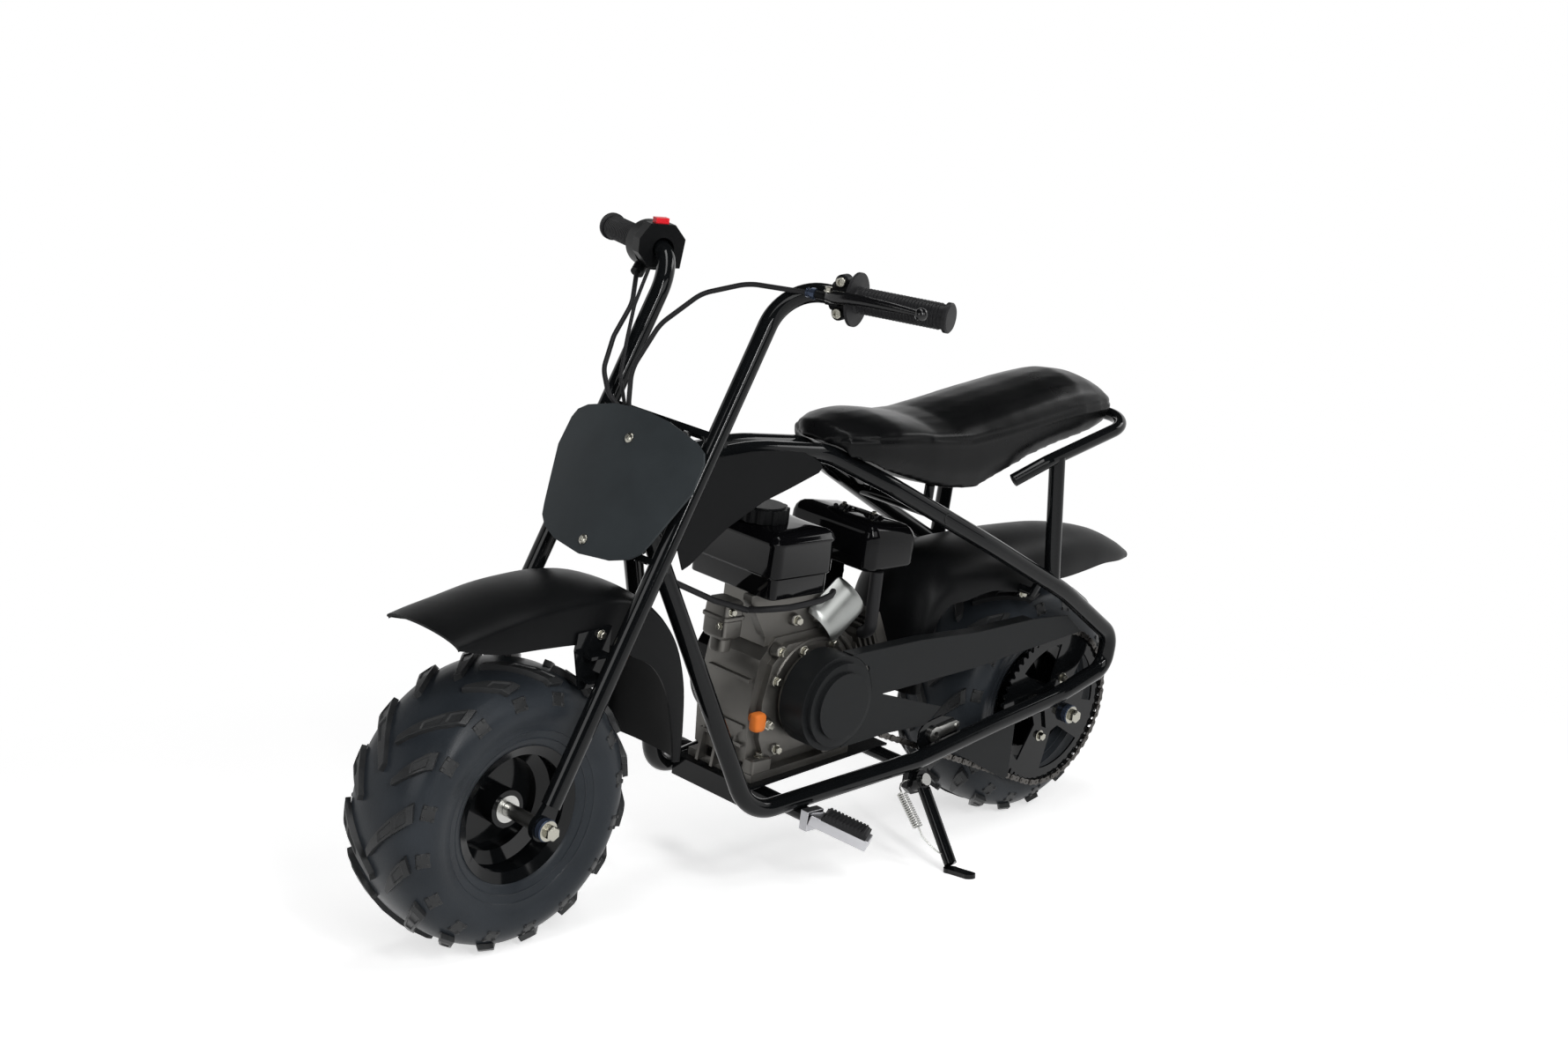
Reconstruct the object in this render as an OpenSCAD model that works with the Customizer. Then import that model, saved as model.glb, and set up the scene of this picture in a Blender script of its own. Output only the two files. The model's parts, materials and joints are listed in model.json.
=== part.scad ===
// Small off-road minibike, parked on its side stand and leaning to its left side.
// Millimetres. The bike is drawn upright with the origin on the ground under the rear axle,
// +X forward, +Y to the rider's left, +Z up, and the whole is then leaned as it stands.

/* [Whole bike] */
// distance between the two axles
wheelbase = 983; // [850:1:1150]
// lean to the left while parked on the side stand
lean = 9.91; // [8.5:0.01:11.5]
// shift that puts the origin under the middle of the bounding box, along the bike
origin_x = 460; // [300:1:600]
// shift that puts the origin under the middle of the bounding box, across the bike
origin_y = 137.3; // [50:1:250]

/* [Tyres] */
// radius of a tyre to the tips of its lugs
tyre_r = 183; // [170:1:200]
// half of the width of a tyre
tyre_half = 72; // [60:1:80]
// radius of the crown of the tread across the tyre
crown_r = 190; // [150:1:260]
// depth of the grooves between the lugs
lug_depth = 7; // [4:0.5:10]
// number of lug pairs round each shoulder of a tyre, one long and one short
lug_pairs = 8; // [6:1:10]
// width of a lug at the shoulder
lug_wide = 21; // [14:1:26]
// angle by which a lug sweeps round the tyre from the shoulder to its inner end
lug_sweep = 20; // [10:1:26]
// radius of the tyre where it sits on the rim
bead_r = 79; // [70:1:90]
// half of the width of the tyre at the bead
bead_half = 50; // [40:1:60]

/* [Rims and hubs] */
// outer radius of the rim flange
flange_r = 88; // [80:1:95]
// half of the distance over the rim flanges
flange_half = 57; // [45:1:65]
// radius of the drop centre of the rim
drop_r = 64; // [50:1:75]
// thickness of the rim steel
rim_t = 3; // [2:0.5:5]
// radius of the hub tube
hub_r = 24; // [18:1:35]
// half of the length of the hub tube
hub_half = 36; // [28:1:45]
// radius of the wheel bearing
bearing_r = 17.5; // [14:0.5:22]
// radius of the axle bolts
axle_r = 6; // [5:0.5:8]
// length of the axle bolts beyond the right side plates, nut and bare thread
axle_stub = 24; // [20:1:40]
// running clearance between axle and bearing
axle_clear = 0.05; // [0.02:0.01:0.1]

/* [Frame tubes] */
// radius of the frame tubes
tube_r = 12.7; // [10:0.1:15]
// radius of the cross tubes
cross_r = 11; // [9:0.5:14]
// distance of the rear loops from the middle
loop_y = 118; // [112:1:130]
// distance of the top tubes from the middle at the steering head
spine_y = 20; // [18:1:30]
// radius of the steering head tube
head_r = 21; // [18:0.5:26]
// radius of the bore of the steering head tube
head_bore = 16; // [13:0.5:20]

/* [Steering] */
// rake of the fork from upright
rake = 24.8; // [20:0.1:30]
// distance of the fork tubes from the middle
fork_y = 99; // [90:1:110]
// radius of the fork and handlebar tubes
bar_r = 12.2; // [10:0.1:14]
// distance of the steering axis behind the fork tubes
fork_offset = 22; // [0:1:40]
// height of the lower fork bridge on the fork tube line
bridge_low = 493; // [470:1:515]
// height of the upper fork bridge on the fork tube line
bridge_high = 645; // [620:1:670]
// height at which the round fork tubes end over the axle
fork_foot = 208; // [204:1:230]
// height of the middle of the grips
grip_z = 831; // [780:1:880]
// distance of the number plate in front of the fork tubes
plate_gap = 34; // [26:1:45]
// radius to which the number plate is bowed
plate_bow = 700; // [400:10:1500]
// half of the width over the grip ends
bar_half = 305; // [260:1:350]
// sweep of the grips to the rear
sweep = 19.2; // [5:0.1:30]
// length of a grip
grip_len = 118; // [100:1:135]
// radius of a grip
grip_r = 16; // [14:0.5:20]

/* [Seat] */
// half of the width of the seat at its middle
seat_half = 88; // [70:1:110]
// radius of the hoop tube round the seat tail
hoop_r = 9.5; // [7:0.5:12]

/* [Engine] */
// crank axle along the bike
crank_x = 490; // [470:1:510]
// crank axle height
crank_z = 266; // [255:1:280]
// radius of the clutch cover drum
drum_r = 66; // [55:1:75]
// outer face of the chain cover across the bike
cover_y = 118; // [108:1:122]
// outer face of the flat guard over the chain
guard_y = 104; // [100:1:110]
// lean of the cylinder to the rear from upright
fin_tilt = 62; // [40:1:75]
// radius of the fuel cap
cap_r = 36; // [28:1:42]

/* [Drive] */
// middle of the chain across the bike
chain_y = 91; // [86:1:94]
// pitch radius of the rear sprocket
sprocket_r = 117; // [105:1:125]
// pitch radius of the engine sprocket
pinion_r = 22; // [18:1:28]
// half of the height of the chain links
link_h = 4.6; // [3.5:0.1:6]
// half of the width over the chain
chain_half = 5.5; // [4:0.5:7]

/* [Side stand] */
// bolt of the side stand along the bike
stand_x = 318; // [300:1:335]
// bolt of the side stand above the ground
stand_z = 131; // [120:1:140]
// radius of the stand leg
stand_r = 9; // [7:0.5:11]
// radius of the coils of the stand spring
spring_r = 6.5; // [4:0.5:9]
// upward tilt of the stand bolt
stand_tilt = 28; // [15:1:35]
// where the leg meets the ground, across the bike as parked
stand_reach = 216; // [190:1:240]

/* [Footpegs] */
// length of a footpeg
peg_len = 83; // [60:1:110]
// sweep of the footpegs to the rear
peg_sweep = 30; // [0:1:45]
// droop of the footpegs
peg_droop = 14; // [0:1:25]
// footpeg cross tube along the bike
peg_x = 527; // [510:1:545]
// footpeg cross tube above the ground
peg_z = 117; // [110:1:128]

/* [Hidden] */
$fn = 48;
wheel_z = tyre_r;
crown_drop = crown_r * (1 - cos(lean));
tan_rake = tan(rake);
// inner face of the side panels, against the top tubes
panel_y = spine_y + 2.9 + tube_r;
// a bend is this much thinner than its straight bars, which reach a little into it
bend_skin = 0.03;
bend_lap = 0.2;
// seat between two pieces that lie against each other
seat_gap = 0.3;

function unit(v) = v / norm(v);
function bend_angle(a, b, c) = acos(min(1, max(-1, unit(b - a) * unit(c - b))));
function bend_cut(a, b, c, r) = r * tan(bend_angle(a, b, c) / 2);
function turn_of(x, y, z) = [atan2(y[2], z[2]), -asin(min(1, max(-1, x[2]))), atan2(x[1], x[0])];
function spot(row) = [row[0], row[1], row[2]];
function other_side(rows) = [for (r = rows) [r[0], -r[1], r[2], r[3]]];
// place on the fork tube line at a height, moved by an offset towards the rear
function fork_line(z, back = 0, y = 0) =
    [wheelbase - (z - wheel_z) * tan_rake - back * cos(rake), y, z - back * sin(rake)];

// round bar between two points
module rod(a, b, r) {
    d = b - a;
    translate(a)
        rotate([0, acos(d[2] / norm(d)), atan2(d[1], d[0])])
            cylinder(h = norm(d), r = r);
}

// round bend with straight bars on both sides of it
module elbow(a, b, c, r, bend) {
    d1 = unit(b - a);
    normal = unit(cross(d1, unit(c - b)));
    inward = cross(normal, d1);
    start = b - d1 * bend_cut(a, b, c, bend);
    translate(start + inward * bend)
        rotate(turn_of(-inward, d1, normal))
            rotate_extrude(angle = bend_angle(a, b, c))
                translate([bend, 0]) circle(r = r - bend_skin);
}

// tube through rows of x, y, z and bend radius
module tube(rows, r) {
    p = [for (q = rows) spot(q)];
    n = len(p);
    for (i = [0:n - 2]) {
        go = unit(p[i + 1] - p[i]);
        from = i == 0 ? 0 : bend_cut(p[i - 1], p[i], p[i + 1], rows[i][3]);
        till = i == n - 2 ? 0 : bend_cut(p[i], p[i + 1], p[i + 2], rows[i + 1][3]);
        rod(p[i] + go * (i == 0 ? 0 : from - bend_lap),
            p[i + 1] - go * (i == n - 2 ? 0 : till - bend_lap), r);
    }
    for (i = [1:n - 2]) elbow(p[i - 1], p[i], p[i + 1], r, rows[i][3]);
}

// flat outline in the side view, made solid between two distances from the middle
module slab(y0, y1) {
    translate([0, y1, 0]) rotate([90, 0, 0]) linear_extrude(y1 - y0) children();
}

// turned shape about a cross axis: outline columns are radius and distance across
module turned(x, z) {
    translate([x, 0, z]) rotate([-90, 0, 0]) rotate_extrude() children();
}

// shell or body through closed rings of points with the same count
module skin(rings) {
    n = len(rings[0]);
    m = len(rings);
    sides = [for (i = [0:m - 2], j = [0:n - 1], k = [0:1])
        let (a = i * n + j, b = i * n + (j + 1) % n)
        k == 0 ? [a, b, a + n] : [b, b + n, a + n]];
    first = [for (j = [n - 1:-1:0]) j];
    last = [for (j = [0:n - 1]) (m - 1) * n + j];
    polyhedron(points = [for (r = rings) for (p = r) p], faces = concat(sides, [first], [last]));
}

// the upright bike leaned and moved to where it stands
module parked() {
    translate([-origin_x, -origin_y, crown_drop]) rotate([-lean, 0, 0]) children();
}

// left frame loop, columns: x, y, z, bend radius
loop_rows = [
    [775, 12, 586, 0],
    [620, spine_y, 602, 300],
    [487, spine_y + 3, 589, 90],
    [395, 60, 547, 120],
    [212, 99, 457, 500],
    [45, loop_y - 2, 374, 300],
    [-82, loop_y, 293, 34],
    [-79, loop_y, 242, 30],
    [21, loop_y, 213, 200],
    [161, loop_y, 191, 300],
    [328, loop_y, 162, 60],
    [621, 92, 128, 55],
    [795, 14, 530, 0]];

module bores() {
    translate([0, 0, wheel_z]) rotate([90, 0, 0]) cylinder(h = 300, r = axle_r, center = true);
}

// welded loop of one side, with its dropout for the rear axle
module loop(side) {
    color("black") difference() {
        union() {
            tube(side > 0 ? loop_rows : other_side(loop_rows), tube_r);
            slab(side * loop_y - 4, side * loop_y + 4)
                polygon([[-38, 232], [60, 214], [44, 166], [-24, 166]]);
            rod([96, side * 75.5, 374], [96, side * 101, 374], 6);
            rod([96, side * 98, 370], [96, side * 109, 396], 6);
        }
        bores();
        rod(fork_line(480, fork_offset), fork_line(700, fork_offset), head_r);
    }
}

module head_tube() {
    color("black") difference() {
        rod(fork_line(525, fork_offset), fork_line(636, fork_offset), head_r);
        rod(fork_line(500, fork_offset), fork_line(665, fork_offset), head_bore);
    }
}

// bar across the frame, cut to lie against the straight tube that leaves loop row i
module cross_bar(x, z, i, r, reach) {
    color("black") difference() {
        rod([x, -reach, z], [x, reach, z], r);
        for (s = [-1, 1]) rod(side_point(i, s), side_point(i + 1, s), tube_r + 0.05);
    }
}

module engine_plate() {
    color("black") difference() {
        union() {
            slab(-79, 66) polygon([[330, 171], [600, 151], [600, 122], [596, 122],
                [596, 147], [354, 167.4], [330, 167.4]]);
            slab(-79, -75) polygon([[354, 169], [600, 151], [600, 130], [354, 149]]);
        }
        for (s = [-1, 1]) rod(side_point(10, s), side_point(11, s), tube_r + 1);
    }
}

module footpeg(side) {
    color("silver") mirror([0, side > 0 ? 0 : 1, 0]) union() {
        slab(114, 128) polygon([[peg_x - 13, peg_z - 15], [peg_x + 17, peg_z - 15],
            [peg_x + 17, peg_z + 13], [peg_x - 13, peg_z + 13]]);
        at_peg() translate([-15, 0, -15]) cube([30, peg_len, 15]);
    }
}

// along the peg: Y outward on its upper face, swept to the rear and drooping
module at_peg() {
    translate([peg_x + 3, 125, peg_z + 10]) rotate([-peg_droop, 0, peg_sweep]) children();
}

module peg_rubber(side) {
    color("dimgray") mirror([0, side > 0 ? 0 : 1, 0]) at_peg() union() {
        translate([-17, 14, 0]) cube([34, peg_len - 18, 8]);
        for (y = [16:7:peg_len - 8]) translate([-17, y, 6]) cube([34, 4, 6]);
    }
}

// seat rings, columns: x, half width, bottom, seam, top of the crown,
// half width and top of the channel over the frame tubes
seat_rows = [
    [500, 18, 605, 608, 611, 8, 605.4],
    [490, 38, 604, 611, 622, 20, 604.5],
    [481, 52, 603.5, 614, 630, 38, 604],
    [479, 57, 590, 614, 631, 46, 603.5],
    [440, 74, 577, 618, 636, 60, 588],
    [420, 78, 570, 619, 636.5, 66, 577],
    [398, 81, 563.5, 618, 636, 69, 565],
    [326, 87, 543, 610, 625, 60, 543.5],
    [283, seat_half, 534, 607, 628, 60, 534.5],
    [228, seat_half, 531, 607, 640, 60, 531.5],
    [169, seat_half, 549, 615, 650, 60, 549.5],
    [116, seat_half - 1, 567, 622, 658, 60, 567.5],
    [70, seat_half - 3, 578, 628, 666, 60, 578.5],
    [10, seat_half - 5, 590, 633, 676, 50, 590.5],
    [-30, seat_half - 10, 598, 635, 674, 45, 598.5],
    [-60, seat_half - 16, 607, 636, 666, 40, 607.5],
    [-76, seat_half - 24, 625.5, 637, 655, 35, 626],
    [-88, seat_half - 42, 628, 634, 642, 25, 628.5]];

function seat_ring(q) = let (x = q[0], w = q[1], b = q[2], s = q[3], t = q[4], v = q[5], u = q[6])
    concat([[x, -w * 0.87, b], [x, -v, b], [x, -v, u], [x, v, u], [x, v, b], [x, w * 0.87, b],
        [x, w * 0.97, b + (s - b) * 0.35], [x, w, s - 2]],
    [for (a = [10:20:170]) [x, w * 0.98 * cos(a), s + (t - s) * sin(a)]],
    [[x, -w, s - 2], [x, -w * 0.97, b + (s - b) * 0.35]]);

module seat() {
    color("black") skin([for (q = seat_rows) seat_ring(q)]);
}

hoop_rows = [
    [150, 76, 538, 0],
    [108, 96, 566, 30],
    [-86, 96, 614, 50],
    [-86, -96, 614, 50],
    [108, -96, 566, 30],
    [150, -76, 538, 0]];

module seat_hoop() {
    color("black") tube(hoop_rows, hoop_r);
}

// point of a loop row on a side
function side_point(i, side) = [loop_rows[i][0], side * loop_rows[i][1], loop_rows[i][2]];

// strut from the loop up to the hoop
module strut(side) {
    color("black") difference() {
        rod([84, side * 96, 572], [71, side * 112, 380], hoop_r + 2);
        rod(side_point(4, side), side_point(5, side), tube_r + 0.05);
        rod([108, side * 96, 566], [-86, side * 96, 614], hoop_r + 0.05);
        translate([40, side * 96 - 30, 574]) cube([90, 60, 60]);
    }
}

module seat_bracket() {
    color("black") difference() {
        union() {
            rod([300, -92, 500], [300, 92, 500], 8);
            for (s = [-1, 1]) rod([300, s * 50, 500], [299, s * 50, 536.5], 7);
        }
        for (s = [-1, 1]) rod(side_point(3, s), side_point(4, s), tube_r + 0.05);
    }
}

module side_panel(side) {
    color("black") mirror([0, side > 0 ? 0 : 1, 0]) slab(panel_y, panel_y + 2.5)
        polygon([[744, 600], [697, 602], [640, 605], [578, 602], [545, 598], [512, 582],
            [506, 574], [512, 567], [563, 550], [609, 536], [668, 507], [693, 490],
            [727, 464], [740, 458], [770, 527], [786, 580]]);
}

// ring across a fender, row columns: x, z, direction of the outside, half width,
// drop of the crown at the sides, depth of the turned down sides
function arch_ring(q, t) = let (w = q[3], d = q[4], f = q[5],
        flat = concat([[w, -d - f]], [for (a = [0:15:180]) [w * cos(a), d * sin(a) - d]],
            [[-w, -d - f], [t - w, -d - f]],
            [for (a = [180:-15:0]) [(w - t) * cos(a), (d - t) * sin(a) - d]], [[w - t, -d - f]]))
    [for (p = flat) [q[0] + p[1] * cos(q[2]), p[0], q[1] + p[1] * sin(q[2])]];

rear_rows = [
    [304, 236, -4, 70, 16, 8],
    [308, 300, 0, 72, 18, 10],
    [306, 350, 8, 74, 26, 14],
    [294, 393, 32, 76, 38, 16],
    [264, 422, 62, 77, 48, 14],
    [222, 434, 80, 77, 54, 12],
    [160, 438, 88, 77, 54, 8],
    [91, 441, 90, 75, 58, 16],
    [30, 441, 91, 71, 56, 12],
    [-30, 439, 93, 65, 54, 12],
    [-90, 432, 97, 56, 48, 10],
    [-150, 419, 104, 46, 38, 6],
    [-205, 398, 112, 34, 24, 4],
    [-240, 380, 120, 20, 10, 2]];

module rear_fender() {
    color("dimgray") skin([for (q = rear_rows) arch_ring(q, 3)]);
}

front_rows = [
    [727, 214, 184, 72, 12, 10],
    [727, 262, 180, 72, 14, 18],
    [735, 326, 164, 72, 15, 28],
    [758, 383, 146, 72, 15, 42],
    [798, 427, 124, 72, 15, 56],
    [846, 450, 106, 72, 15, 54],
    [896, 457, 94, 72, 15, 48],
    [945, 456, 90, 72, 15, 44],
    [995, 450, 86, 72, 14, 38],
    [1045, 440, 82, 71, 14, 28],
    [1085, 431, 78, 71, 13, 14],
    [1112, 424, 75, 70, 12, 1]];

module front_fender() {
    color("dimgray") skin([for (q = front_rows) arch_ring(q, 3)]);
}

// bracket that bolts the side of the fender to the fork tube
module fender_bracket(side) {
    color("black") mirror([0, side > 0 ? 0 : 1, 0]) difference() {
        union() {
            slab(72.5, 76) polygon([[884, 416], [936, 412], [938, 390], [926, 340], [884, 340]]);
            translate([894, 72.5, 352]) cube([32, 20, 4]);
            translate([894, 72.5, 382]) cube([32, 20, 4]);
        }
        rod(fork_line(280, 0, fork_y), fork_line(500, 0, fork_y), bar_r + 0.05);
    }
}

module fender_brackets() {
    fender_bracket(1);
    fender_bracket(-1);
}

grip_x = wheelbase - (grip_z - wheel_z) * tan_rake;
perch_y = bar_half - grip_len - 26;
function bar_point(y) = [grip_x - (y - fork_y) * tan(sweep), y, grip_z];
bar_rows = [
    [fork_line(fork_foot)[0], fork_y, fork_foot, 0],
    [grip_x, fork_y, grip_z, 62],
    [bar_point(bar_half - 4)[0], bar_half - 4, grip_z, 0]];

module fork_bar() {
    color("black") difference() {
        union() {
            tube(bar_rows, bar_r);
            tube(other_side(bar_rows), bar_r);
            for (s = [-1, 1]) {
                translate([wheelbase, s * fork_y, wheel_z])
                    rotate([90, 0, 0]) cylinder(h = 8, r = 17, center = true);
                slab(s * fork_y - 4, s * fork_y + 4) polygon([
                    fork_side(wheel_z, 15), fork_side(fork_foot + 4, 10),
                    fork_side(fork_foot + 4, -10), fork_side(wheel_z, -15)]);
            }
            bridge(bridge_low);
            bridge(bridge_high);
            rod(fork_line(bridge_low, fork_offset), fork_line(bridge_high, fork_offset),
                head_bore - 1);
        }
        translate([wheelbase, 0, wheel_z]) rotate([90, 0, 0])
            cylinder(h = 300, r = axle_r, center = true);
    }
}

// place in the side view beside the fork tube line
function fork_side(z, back) = [fork_line(z, back)[0], fork_line(z, back)[2]];

// plate that joins both fork tubes and the steering stem
module bridge(z) {
    translate(fork_line(z)) rotate([0, -rake, 0])
        translate([-fork_offset, 0, 0]) intersection() {
            translate([fork_offset - 40, -fork_y, -4]) cube([56, 2 * fork_y, 8]);
            union() {
                translate([0, 0, -4]) cylinder(h = 8, r = 26);
                translate([0, -fork_y, -4]) cube([fork_offset + 12, 2 * fork_y, 8]);
            }
        }
}

module number_plate() {
    color("dimgray") translate(fork_line(570)) rotate([0, -rake, 0]) intersection() {
        translate([plate_gap - plate_bow, 0, -140]) difference() {
            cylinder(h = 280, r = plate_bow + 3);
            translate([0, 0, -1]) cylinder(h = 282, r = plate_bow);
        }
        rotate([90, 0, 90]) linear_extrude(60)
            polygon([[-98, -68], [-92, -82], [-78, -94], [-50, -104], [0, -110], [50, -104],
                [78, -94], [92, -82], [98, -68], [124, 8], [122, 46], [116, 58], [100, 67],
                [50, 79], [0, 83], [-50, 79], [-100, 67], [-116, 58], [-122, 46], [-124, 8]]);
    }
}

module plate_clamp() {
    color("black") difference() {
        union() {
            for (s = [-1, 1]) rod(fork_line(600, -6, s * 60), fork_line(600, 0, s * fork_y), 5);
            rod(fork_line(600, -6, -60), fork_line(600, -6, 60), 5);
            rod(fork_line(600, -6, 0), fork_line(600, 0.4 - plate_gap, 0), 6);
        }
        for (s = [-1, 1])
            rod(fork_line(400, 0, s * fork_y), fork_line(700, 0, s * fork_y), bar_r + 0.05);
    }
}

// place on the straight grip part of a bar, with a distance to the front and up
function grip_spot(y, ahead = 0, up = 0, side = 1) =
    [bar_point(y)[0] + ahead * cos(sweep), side * (y + ahead * sin(sweep)), grip_z + up];

module grip(side) {
    a = bar_half - grip_len;
    color("dimgray") difference() {
        union() {
            rod(grip_spot(a, 0, 0, side), grip_spot(bar_half, 0, 0, side), grip_r);
            rod(grip_spot(a, 0, 0, side), grip_spot(a + 4, 0, 0, side), side > 0 ? 33 : grip_r + 2);
            rod(grip_spot(bar_half - 5, 0, 0, side), grip_spot(bar_half - 1, 0, 0, side), grip_r + 2);
        }
        rod(grip_spot(a - 30, 0, 0, side), grip_spot(bar_half - 2.5, 0, 0, side), bar_r);
    }
}

housing_in = bar_half - grip_len - 28;
module throttle_housing() {
    color("gray") difference() {
        union() {
            rod(grip_spot(housing_in, 0, 0, -1), grip_spot(bar_half - grip_len - 0.5, 0, 0, -1), 31);
            rod(grip_spot(housing_in + 12, 10, -22, -1), grip_spot(housing_in + 2, 22, -36, -1), 9);
        }
        rod(grip_spot(housing_in - 30, 0, 0, -1), grip_spot(bar_half, 0, 0, -1), bar_r);
    }
}

// box with the engine switch, inboard of the throttle
module switch_box() {
    a = grip_spot(housing_in - 22, 0, 0, -1);
    color("dimgray") difference() {
        translate(a) rotate([90, 0, -sweep]) linear_extrude(21.4)
            polygon([[-26, -24], [18, -24], [34, -6], [34, 12], [20, 32], [-14, 32], [-30, 14]]);
        rod(grip_spot(housing_in - 50, 0, 0, -1), grip_spot(bar_half, 0, 0, -1), bar_r);
        rod(grip_spot(housing_in - 50, 0, 0, -1), grip_spot(housing_in - 6, 0, 0, -1), bar_r + 2.2);
        translate([bar_point(fork_y)[0] - 30, -fork_y - 17, grip_z - 40]) cube([60, 40, 40.5]);
    }
}

module kill_switch() {
    color("red") translate(grip_spot(housing_in - 10, 2, 32, -1)) rotate([0, 0, -sweep])
        translate([-9, -6, 0]) cube([18, 12, 7]);
}

module lever_perch() {
    color("gray") difference() {
        union() {
            rod(grip_spot(perch_y, 0, 0), grip_spot(perch_y + 22, 0, 0), 18);
            translate(grip_spot(perch_y + 2, 8, -8)) rotate([0, 0, sweep]) cube([22, 16, 16]);
            rod(grip_spot(perch_y + 8, 24, 0), grip_spot(perch_y - 16, 24, 1), 5);
        }
        rod(grip_spot(perch_y - 30), grip_spot(perch_y + 60), bar_r);
    }
}

module brake_lever() {
    color("black") union() {
        translate(grip_spot(perch_y + 2, 30.4, -6)) rotate([0, 0, sweep]) cube([11, 18, 12]);
        rod(grip_spot(perch_y + 12, 36, 0), grip_spot(perch_y + 60, 50, 2), 4.5);
        rod(grip_spot(perch_y + 59, 49.7, 2), grip_spot(bar_half - 18, 54, 3), 4.5);
        translate(grip_spot(bar_half - 16, 54, 3)) sphere(r = 8);
    }
}

module front_axle() {
    color("silver") union() {
        rod([wheelbase, -fork_y - 4 - axle_stub, wheel_z], [wheelbase, fork_y + 14, wheel_z],
            axle_r - axle_clear);
        for (s = [-1, 1]) {
            rod([wheelbase, s * (hub_half + 0.5), wheel_z],
                [wheelbase, s * (fork_y - 4.3), wheel_z], 9);
            rod([wheelbase, s * (fork_y + 4), wheel_z], [wheelbase, s * (fork_y + 13), wheel_z], 11);
        }
    }
}

module rear_axle() {
    color("silver") union() {
        rod([0, -loop_y - 4 - axle_stub, wheel_z], [0, loop_y + 16, wheel_z], axle_r - axle_clear);
        for (s = [-1, 1]) {
            rod([0, s * (hub_half + 0.5), wheel_z], [0, s * (loop_y - 4.3), wheel_z], 9);
            rod([0, s * (loop_y + 4), wheel_z], [0, s * (loop_y + 13), wheel_z], 13);
        }
    }
}

// tyre outline out to the tips of its lugs, columns: radius, distance across
tip_rows = [
    [150, -tyre_half + 1], [166, -tyre_half + 7], [174, -56],
    [179.6, -38], [182.2, -20], [tyre_r, 0]];
tyre_rows = [
    [bead_r, seat_gap - bead_half], [flange_r + 0.6, rim_t - flange_half + 0.4],
    [flange_r + 4, -flange_half - 3], [118, -tyre_half + 4],
    [138, -tyre_half], [149, -tyre_half + 2.5], [166 - 0.6 * lug_depth, -tyre_half + 11],
    [174 - 0.9 * lug_depth, -54], [179.6 - lug_depth, -38], [tyre_r - lug_depth, 0]];
function mirrored(rows) = concat(rows, [for (i = [len(rows) - 2:-1:0]) [rows[i][0], -rows[i][1]]]);
function turned_back(rows) = [for (q = rows) [q[0], -q[1]]];
lug_roots = [for (q = tyre_rows) if (q[0] > 140) [q[0] - 2, q[1] * 0.97]];
tyre_inner = [
    [bead_r, bead_half - 7], [110, tyre_half - 14], [140, tyre_half - 10], [164, 50], [172, 0],
    [164, -50], [140, 10 - tyre_half], [110, 14 - tyre_half], [bead_r, 7 - bead_half]];

// a lug seen from outside the tyre: across it from the shoulder at out to its inner end at inn,
// swept round by the sweep and narrowing to tip
module lug(out, inn, tip) {
    run = tyre_r * sin(lug_sweep) * (out - inn) / out;
    linear_extrude(tyre_r - 130)
        polygon([[-lug_wide / 2, out], [lug_wide / 2, out], [run + tip / 2, inn], [run - tip / 2, inn]]);
}
module lug_row() {
    // columns: inner end, width there, turn within the pitch
    lugs = [[4, 9, 0], [34, 15, 0.5]];
    for (i = [0:lug_pairs - 1], q = lugs) rotate([0, (i + q[2]) * 360 / lug_pairs, 0])
        translate([0, 0, 130]) lug(tyre_half + 3, q[0], q[1]);
}
module tyre() {
    color("dimgray") union() {
        turned(0, 0) polygon(concat(mirrored(tyre_rows), tyre_inner));
        intersection() {
            turned(0, 0) polygon(concat(mirrored(tip_rows), turned_back(mirrored(lug_roots))));
            union() {
                lug_row();
                mirror([0, 1, 0]) rotate([0, 90 / lug_pairs, 0]) lug_row();
            }
        }
    }
}

rim_rows = [
    [flange_r, flange_half], [flange_r, flange_half - rim_t], [bead_r - seat_gap, bead_half],
    [bead_r - seat_gap, 24], [drop_r, 16], [drop_r, -16], [bead_r - seat_gap, -24],
    [bead_r - seat_gap, -bead_half],
    [flange_r, rim_t - flange_half], [flange_r, -flange_half], [bead_r - 4, rim_t - bead_half - 4],
    [bead_r - 1 - rim_t, -24], [drop_r - rim_t, -14], [drop_r - rim_t, 14], [bead_r - 1 - rim_t, 24],
    [bead_r - 4, bead_half + 4 - rim_t]];

module rim() {
    color("black") difference() {
        union() {
            turned(0, 0) polygon(rim_rows);
            turned(0, 0) polygon([[20, -2], [drop_r - 1, -2], [drop_r - 1, 2], [20, 2]]);
            turned(0, 0) polygon([[bearing_r, -hub_half + 1], [hub_r, -hub_half + 1],
                [hub_r, hub_half - 1], [bearing_r, hub_half - 1]]);
        }
        rod([0, -100, 0], [0, 100, 0], bearing_r);
    }
}

module bearings() {
    color("silver") difference() {
        rod([0, -hub_half, 0], [0, hub_half, 0], bearing_r - 0.1);
        rod([0, -100, 0], [0, 100, 0], axle_r);
    }
}

module sprocket() {
    color("black") difference() {
        union() {
            rod([0, chain_y - 1.5, 0], [0, chain_y + 1.5, 0], sprocket_r - link_h - 0.6);
            rod([0, hub_half - 2, 0], [0, chain_y + 1.5, 0], 30);
        }
        rod([0, 0, 0], [0, 100, 0], 12);
        rod([0, 0, 0], [0, hub_half + 0.5, 0], hub_r + 0.3);
        for (a = [24:90:294]) rotate([0, a, 0]) intersection() {
            rod([0, 80, 0], [0, 100, 0], 97);
            slab(80, 100) polygon([[40, -8], [40, 8], [86, 43], [110, 43], [110, -43], [86, -43]]);
        }
    }
}

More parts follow.
